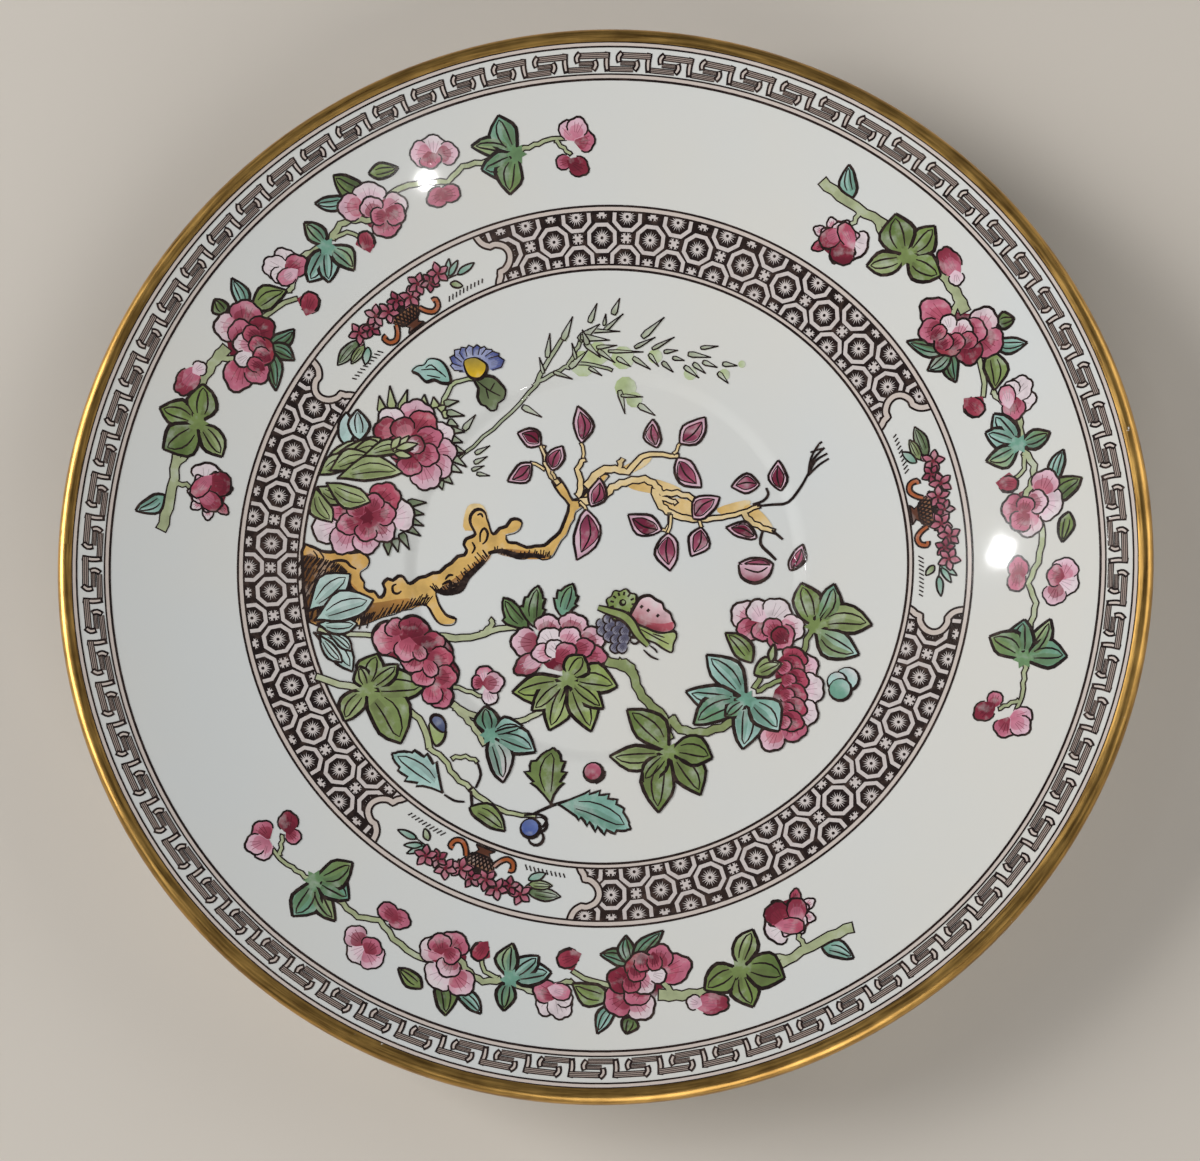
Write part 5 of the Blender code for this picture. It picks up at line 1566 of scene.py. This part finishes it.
def bough_left():
    """The half of the bough from the left edge of the well to the fruit."""
    bough = Drawing(1.3)
    heart_washes(bough, (-5.8, -11.4, 3.2))
    branches(bough, [
        ([(-31, -10.2), (-34.4, -10), (-38.2, -9.6)], 0.5, 0.4),
        ([(-23.4, -9.8), (-20, -10.2), (-17, -9.9), (-14.2, -8.9), (-11.6, -8.7)], 0.9, 0.5),
        ([(-16.4, -9.6), (-15.2, -8.6), (-15, -7.5)], 0.6, 0.5),
        ([(-38.2, -16), (-35, -17), (-31.8, -17.4)], 0.7, 0.8),
        ([(-20, -16.8), (-17.4, -17.6), (-15.6, -18.4)], 0.4, 0.3),
        ([(-20, -19.2), (-18.2, -21), (-16.8, -22.6), (-15.6, -24.6)], 0.8, 0.5),
        ([(-19.8, -19.6), (-17, -20.8), (-14, -21.4), (-11, -21.4), (-8.8, -20.4), (-7, -19.6)], 0.7, 0.5),
    ], (178, 184, 146))
    for base, tip, width, bend in (
        ((-38.8, -10), (-33.4, -15.2), 3, 0.12), ((-38, -10.2), (-34.8, -14), 1.8, -0.05),
        ((-37, -10), (-33.6, -12.4), 1.6, 0.1), ((-39.6, -7.2), (-34.2, -1.8), 4, 0.04),
        ((-38.4, -8.8), (-33, -8.6), 2.6, -0.05), ((-38.8, -8.4), (-31, -5.2), 4.2, 0.06)):
        leaf(bough, base, tip, width, (166, 198, 188), (196, 212, 206), bend=bend, line=0.28, wide_at=0.58)
    leaf_cluster(bough, (-31.4, -17.6), [
        ((-30.2, -12.6), 3, 0.05), ((-23.6, -17), 3.4, 0.05), ((-26.6, -24.8), 4.4, 0.12),
        ((-34.2, -22), 2.6, -0.1, LIGHT_OLIVE), ((-27.4, -14), 2.2, 0), ((-32.6, -14.4), 1.8, 0, LIGHT_OLIVE)
    ], GRASS, OLIVE)
    bloom = along_curve([
        (-31, -10.4), (-30.4, -8.8), (-29, -8.1), (-27.6, -8.5), (-26.6, -7.5), (-25.2, -7.3), (-23.8, -8.2),
        (-22.9, -9.6), (-21.2, -10.4), (-20.2, -11.8), (-20.2, -13.2), (-19.3, -14.6), (-19.5, -16.2), (-20.2, -17),
        (-19.8, -18.4), (-20.8, -19.9), (-22.2, -19.6), (-23, -18.6), (-23.8, -17.2), (-25.4, -15.8), (-26.6, -14),
        (-28.2, -13), (-30, -12.6)], 3, closed=True)
    bough.patch(bloom, "rose", CRIMSON, DEEP_CRIMSON, (-31, -10), (-21, -14))
    bough.stroke(bloom, 0.26, closed=True, swell=0.4)
    for base, tip, width, near, far, lobes in (
        ((-27.2, -10.6), (-30.9, -10.4), 4.4, ROSE, (212, 140, 156), 3),
        ((-27, -9.8), (-29, -8.2), 2.8, CRIMSON, PINK, 2),
        ((-25.8, -10.4), (-25.2, -7.4), 4, DEEP_CRIMSON, (156, 62, 82), 3),
        ((-24.8, -11.4), (-21.3, -10.5), 3.2, DEEP_CRIMSON, (168, 70, 90), 3),
        ((-23.8, -13.4), (-20.1, -12.8), 3.4, (146, 52, 72), (182, 84, 104), 3),
        ((-23, -15.6), (-19.5, -15.6), 3.4, CRIMSON, (190, 96, 116), 3),
        ((-22.4, -17), (-20.7, -19.7), 3.2, CRIMSON, PINK, 3), ((-22.8, -16.4), (-22.6, -19.4), 2.8, ROSE, PINK, 2),
        ((-23.8, -14.4), (-24.2, -17), 3.2, ROSE, (206, 130, 148), 2),
        ((-25, -12.4), (-26, -15), 3.2, CRIMSON, (206, 130, 148), 3),
        ((-26, -10.2), (-26.6, -13.6), 3.4, ROSE, (210, 138, 156), 3),
        ((-23.9, -13.2), (-22.4, -15.6), 2, ROSE, (206, 130, 148), 2),
        ((-25.2, -11.2), (-24, -13.4), 1.9, CRIMSON, (206, 130, 148), 2)):
        petal(bough, base, tip, width, near, far, lobes, 0.28)
    row_of(petal, bough,
        (-15.7, -16.6, -16, -13.9, 2.4, PALE_PINK, PINK, 2), (-16, -16.2, -17.6, -16.2, 2, CRIMSON, PINK, 2, 0.28),
        (-15.6, -16.8, -14.6, -19.2, 2.2, PALE_PINK, BLUSH, 2, 0.28),
        (-16.2, -16.4, -13.2, -16, 2.9, CRIMSON, PALE_PINK))
    for base, tip, width, near in (
        ((-10.2, -8.8), (-13.6, -4.6), 2.9, (86, 112, 66)), ((-9.4, -8.6), (-8.9, -2.9), 3.1, DEEP_GREEN),
        ((-5.6, -7.2), (-4.2, -2.6), 3, TEAL)):
        leaf(bough, base, tip, width, near, (116, 146, 96), bend=0.06, teeth=3 if tip[0] > -13 else 2)
    row_of(petal, bough,
        (-7.6, -9.8, -7.4, -6.9, 3.6, CRIMSON, PALE_PINK, 3, 0.34),
        (-4.6, -9.8, -3.4, -6.8, 4.2, CRIMSON, PALE_PINK, 4, 0.34),
        (-8.4, -10.8, -12.4, -10.6, 4, CRIMSON, PALE_PINK, 3, 0.36),
        (-8, -12.4, -11.8, -14.8, 2.8, PALE_PINK, CRIMSON, 3, 0.34),
        (-3.4, -10.8, 0.2, -10, 3.8, CRIMSON, PALE_PINK, 3, 0.36),
        (-3.4, -12.2, 0.6, -12.8, 3, CRIMSON, PINK, 3, 0.34), (-6.4, -11.4, -8.2, -9, 3.4, BLUSH, BLUSH),
        (-5.4, -11.4, -3.6, -8.8, 3.2, PINK, PALE_PINK), (-6.4, -11.8, -9.6, -12.4, 2.6, PINK, PALE_PINK),
        (-4.2, -11.8, -1.2, -11, 2.6, CRIMSON, PINK), (-5.6, -12.6, -7.4, -10.6, 2.6, BLUSH, BLUSH, 3, 0.28),
        (-6.4, -13.2, -3.8, -11.2, 3, CRIMSON, PINK))
    leaf_cluster(bough, (-4.7, -15.6), [
        ((-12.1, -17.5), 3, 0.06), ((-7, -22.6), 3, 0, (168, 184, 120)), ((-1.4, -22.7), 3, 0.06),
        ((2, -16.6), 3.2, 0.08), ((-2.6, -12.4), 2.8, 0), ((-9.4, -20), 2.4, 0, LIGHT_OLIVE), ((0.2, -19.6), 2.2, 0)
    ], GRASS, (146, 164, 90))
    leaf_cluster(bough, (-14.9, -23.4), [
        ((-15.7, -19.4), 2.4, 0, (86, 120, 84)), ((-10.5, -22.1), 2.4, 0.06), ((-8.7, -25.6), 2.8, 0.1),
        ((-12.9, -29.8), 2.6, 0.08, BLUSH)],
        TEAL, AQUA)
    return bough


def bough_right():
    """The half of the bough from the fruit to the right edge of the well."""
    bough = Drawing(1.3)
    heart_washes(bough, (22.4, -8.2, 2.4), (25.4, -14.4, 2.6), (25.4, -18.4, 2.8), (24.4, -21.6, 2.2))
    branches(bough, [
        ([(0.4, -13.2), (2.6, -13.8), (4, -14.8), (4.9, -17.2), (6.6, -19.2), (8.2, -20.6), (9, -23.6)], 1.1, 0.9),
        ([(2, -13.4), (3.4, -13.7), (4.2, -14.8)], 1.2, 0.8),
        ([(9.2, -20.8), (10.4, -22.2), (13, -22.7), (16, -22), (18.4, -20.6)], 1, 0.9),
        ([(9.3, -21.6), (9.9, -20.6)], 0.7, 0.6),
        ([(20.2, -16.8), (21.2, -15), (22.4, -13.4)], 0.6, 0.4),
        ([(20.6, -17.2), (22.4, -16.2), (23.8, -15.6)], 0.5, 0.4),
        ([(27.9, -8.6), (27.2, -10.2), (26.8, -11.8)], 0.5, 0.6),
    ], (136, 148, 98))
    strange_fruit(bough)
    row_of(petal, bough,
        (20.6, -8, 17.4, -5.6, 4, PINK, BLUSH, 3, 0.34), (21.2, -7.6, 18, -9.6, 3.2, CRIMSON, PINK, 2),
        (21.4, -7.8, 20.2, -4.7, 3.4, PALE_PINK, BLUSH, 3, 0.34), (22.2, -7.8, 24.2, -4.8, 4.2, BLUSH, BLUSH),
        (23, -8.6, 26.9, -8.6, 3.8, PINK, BLUSH, 4, 0.28), (21.8, -7.6, 20.6, -10.2, 2.8, CRIMSON, PINK, 2),
        (22.4, -8, 24.9, -11.2, 3.8, CRIMSON, PINK), (23.4, -9.6, 21.8, -7.4, 2.8, CRIMSON, PINK, 3, 0.28),
        (24.6, -10.6, 22.8, -8.6, 2.4, DEEP_CRIMSON, CRIMSON, 2, 0.26),
        (25.4, -14.6, 28.6, -13.2, 3.6, PINK, PALE_PINK), (25.6, -17, 29.5, -16.8, 4.4, PALE_PINK, BLUSH, 4),
        (25.4, -19.6, 28.6, -20.8, 3.8, PALE_PINK, BLUSH), (25.2, -20.6, 25.4, -24, 4, CRIMSON, PINK),
        (23.6, -22, 21.8, -25.1, 3.4, (186, 92, 108), PALE_PINK, 3, 0.34),
        (25, -13.6, 26.2, -11.4, 3.6, CRIMSON, ROSE, 3, 0.32))
    for x, y, size in ((24.8, -13.6, 3), (25.4, -15.4, 3), (25.2, -17.4, 3), (25.2, -19.2, 2.8), (24.8, -21, 2.8)):
        petal(bough, (x - 1.4, y + 0.5), (x + 2, y - 0.8), size, DEEP_CRIMSON, ROSE, 3, 0.28)
        petal(bough, (x - 1.6, y + 0.2), (x + 0.3, y - 0.9), size * 0.7, CRIMSON, PINK, 2, 0.26)
    row_of(leaf, bough,
        (19.9, -13.2, 16.3, -9.2, 2.7, OLIVE, (120, 142, 76), -0.08),
        (20.2, -14.8, 23.9, -13.4, 2.6, OLIVE, LIGHT_OLIVE, 0.1))
    leaf(bough, (22.4, -13.2), (22.8, -10.6), 1, OLIVE, LIGHT_OLIVE, heart=False)
    leaf_cluster(bough, (19.2, -18.2), [
        ((13.8, -12.2), 3, -0.06), ((11.1, -17.2), 2.8, 0.06), ((12.2, -21.6), 3, -0.1, (104, 138, 92)),
        ((18.8, -25), 3, 0.06), ((23.6, -22.6), 3.2, 0.1), ((16.4, -20.6), 1.8, 0, (104, 138, 92))], TEAL, AQUA)
    leaf_cluster(bough, (9, -25.4), [
        ((3.3, -19.7), 3.2, -0.08), ((1.1, -26), 2.7, 0.08, LIGHT_OLIVE), ((7.8, -33.6), 3.3, -0.1),
        ((13.3, -31.2), 3.1, 0.1), ((14.8, -26.2), 3.2, 0.14), ((5.6, -29.4), 2.2, 0)], OLIVE, (104, 124, 66))
    leaf_cluster(bough, (28.2, -8.4), [
        ((26.4, -2.4), 3, 0, (116, 138, 74)), ((30.8, -2.6), 2.5, -0.1, TEAL), ((35.8, -8.3), 3.2, 0.14),
        ((34.1, -12.3), 3, -0.1, AQUA)],
        OLIVE, LIGHT_OLIVE)
    for centre, radius, near, far in (
        ((32.5, -15.6), 1.6, AQUA, BLUSH), ((31.2, -15.9), 1.3, AQUA, BLUSH), ((31.6, -17), 1.5, TEAL, AQUA)):
        ring = ring_of(centre, radius, 14)
        bough.patch(ring, "leaf", near, far, centre, Vector(centre) + Vector((radius, radius)))
        bough.stroke(ring, 0.24, closed=True, swell=0.5)
    return bough


paint_group(bough_left(), "bough_left", "lower_bough_enamel", BOUGH_LEFT_LIFT)
paint_group(bough_right(), "bough_right", "lower_bough_enamel", BOUGH_RIGHT_LIFT)

# --- Trailing sprig ---
# A thin curling stem under the bough, with toothed blue-green leaves and round berries in blue and pink.
SPRIG_LIFT = 0.07 * MM
COBALT = (52, 74, 142)


def berry(drawing, centre, radius, near, far, paint):
    ring = ring_of(centre, radius, 14)
    drawing.patch(ring, paint, near, far, Vector(centre) - Vector((0, radius)), Vector(centre) + Vector((
        radius, radius)))
    drawing.stroke(ring, 0.3, closed=True, swell=0.5)


def trailing_sprig():
    sprig = Drawing(1.3)
    branches(sprig, [
        ([(-27.4, -19.9), (-25.6, -20.4), (-23.9, -22), (-22.8, -25.2)], 0.5, 0.7),
        ([(-22.8, -25.4), (-20.8, -26.8), (-19.4, -29), (-17.2, -30.6)], 0.5, 0.5),
        ([(-17, -31), (-14.2, -33), (-11.4, -34), (-8.6, -34.2)], 0.6, 0.3),
        ([(-19.8, -26.6), (-18, -26.4), (-16.4, -27)], 0.4, 0.3),
    ], (176, 184, 140), edge=0.4)
    for route, width in (
        ([(-16.4, -27.2), (-15.9, -28.8), (-16.5, -30.6)], 0.3), ([(-17.1, -31), (-16.9, -33)], 0.34),
        ([(-20.6, -31.6), (-19.2, -32.4), (-17.9, -32.5)], 0.26),
        ([(-8.8, -34), (-7.6, -33.4), (-5.8, -32.6), (-2.6, -31.6)], 0.34),
        ([(-10, -34.2), (-8.2, -34), (-7, -34.6), (-7.4, -35.6), (-8, -35.8)], 0.28)):
        sprig.stroke(along_curve(route, 3), width, swell=0.2)
    leaf(sprig, (-20.8, -31.4), (-27.8, -26.2), 4, AQUA, (160, 196, 186), bend=-0.08, teeth=4, wide_at=0.55)
    leaf(sprig, (-17.2, -33.2), (-12.4, -36.4), 2.8, OLIVE, (132, 150, 90), bend=0.1)
    leaf(sprig, (-6.4, -32.8), (-6.4, -24.9), 4.8, OLIVE, (106, 124, 70), bend=0.10, teeth=4, wide_at=0.6)
    leaf(sprig, (-5.6, -32.6), (4.2, -35.9), 4.8, TEAL, (138, 180, 168), bend=0.10, teeth=6, wide_at=0.55)
    calyx = along_curve([(-22.9, -21.8), (-22.7, -23.6), (-22, -25), (-21, -24.2), (-20.9, -22.6)], 3, closed=True)
    sprig.patch(calyx, "leaf", (150, 170, 100), LIGHT_OLIVE, (-22, -25), (-22, -22))
    sprig.stroke(calyx, 0.24, closed=True, swell=0.4)
    bud = along_curve([
        (-22.8, -21.6), (-22.4, -20.8), (-21.4, -21), (-20.8, -22), (-20.9, -23.1), (-21.8, -22.8)], 3, closed=True)
    sprig.patch(bud, "leaf", (60, 70, 104), (110, 118, 146), (-22, -23), (-21.6, -21))
    sprig.stroke(bud, 0.28, closed=True, swell=0.4)
    for centre, radius in (((-7.9, -35.4), 1), ((-8.3, -37.2), 1)):
        sprig.stroke(ring_of(centre, radius, 14), 0.24, closed=True, swell=0.5)
    berry(sprig, (-9.1, -35.9), 1.3, COBALT, (120, 136, 186), "leaf")
    berry(sprig, (-1, -28.2), 1.3, CRIMSON, PINK, "rose")
    sprig.stroke(along_curve([(-0.6, -29.8), (0.4, -29), (0.6, -28)], 3), 0.24)
    return sprig


paint_group(trailing_sprig(), "trailing_sprig", "trailing_sprig_enamel", SPRIG_LIFT)

# --- Floor, light and camera ---
FLOOR_SIZE = 2.4
shape = bmesh.new()
bmesh.ops.create_grid(shape, x_segments=1, y_segments=1, size=FLOOR_SIZE / 2)
floor = finished("floor", shape)
floor_finish, nodes, shader = new_material("pale_floor", 0.6)
stone = nodes.mix(nodes.noise(nodes.place(), 9, 4), tint(196, 188, 176), tint(206, 199, 188))
nodes.join(stone, shader.inputs["Base Color"])
floor.data.materials.append(floor_finish)

world = bpy.data.worlds.new("studio")
bpy.context.scene.world = world
world.use_nodes = True
world.node_tree.nodes["Background"].inputs["Color"].default_value = (*tint(226, 230, 236), 1)
world.node_tree.nodes["Background"].inputs["Strength"].default_value = 0.19
bpy.context.scene.view_settings.view_transform = "Standard"


def soft_light(name, direction, distance, size, power, colour):
    """A square light that shines on the plate from this direction."""
    data = bpy.data.lights.new(name, "AREA")
    data.shape = "SQUARE"
    data.size = size
    data.energy = power
    data.color = colour
    light = bpy.data.objects.new(name, data)
    towards = Vector(direction).normalized()
    light.location = towards * distance
    light.rotation_euler = towards.to_track_quat("Z", "Y").to_euler()
    bpy.context.scene.collection.objects.link(light)


soft_light("ceiling_lamp", (0.130, -0.191, 0.973), 1.6, 0.024, 0.2, (1, 0.99, 0.97))
soft_light("second_lamp", (-0.424, 0.195, 0.884), 1.6, 0.034, 0.36, (0.97, 0.99, 1))
soft_light("window", (-0.85, 0.16, 0.50), 1.9, 1.0, 30, (0.985, 0.985, 1))
soft_light("window_sky", (-0.79, 0.20, 0.58), 1.9, 0.7, 3, (0.985, 0.985, 1))
soft_light("front_fill", (0.25, -0.9, 0.55), 2.0, 1.4, 18.5, (1, 0.99, 0.985))
soft_light("right_fill", (0.9, 0.3, 0.5), 2.0, 1.4, 12.5, (1, 0.99, 0.985))

CAMERA_DISTANCE = 407.1168 * MM
CAMERA_AZIMUTH = math.radians(15.88)
CAMERA_ELEVATION = math.radians(77.79)
CAMERA_ROLL = math.radians(1.05)
CAMERA_TILT = math.radians(0.6126)
CAMERA_LENS = 93.27
LIP_HEIGHT = over_clay(LIP_START, COAT)
camera_data = bpy.data.cameras.new("camera")
camera_data.lens = CAMERA_LENS
camera_data.sensor_width = 36
camera_data.clip_start = 0.01
camera = bpy.data.objects.new("camera", camera_data)
back = Vector((
    math.sin(CAMERA_AZIMUTH) * math.cos(CAMERA_ELEVATION),
    -math.cos(CAMERA_AZIMUTH) * math.cos(CAMERA_ELEVATION),
    math.sin(CAMERA_ELEVATION),
))
right = Vector((0, 1, 0)).cross(back).normalized()
upright = Matrix((right, back.cross(right), back)).transposed().to_4x4()
turn = Matrix.Rotation(CAMERA_ROLL, 4, "Z") @ Matrix.Rotation(-CAMERA_TILT, 4, "X")
camera.matrix_world = Matrix.Translation(back * CAMERA_DISTANCE + Vector((0, 0, LIP_HEIGHT))) @ upright @ turn
bpy.context.scene.collection.objects.link(camera)
bpy.context.scene.camera = camera
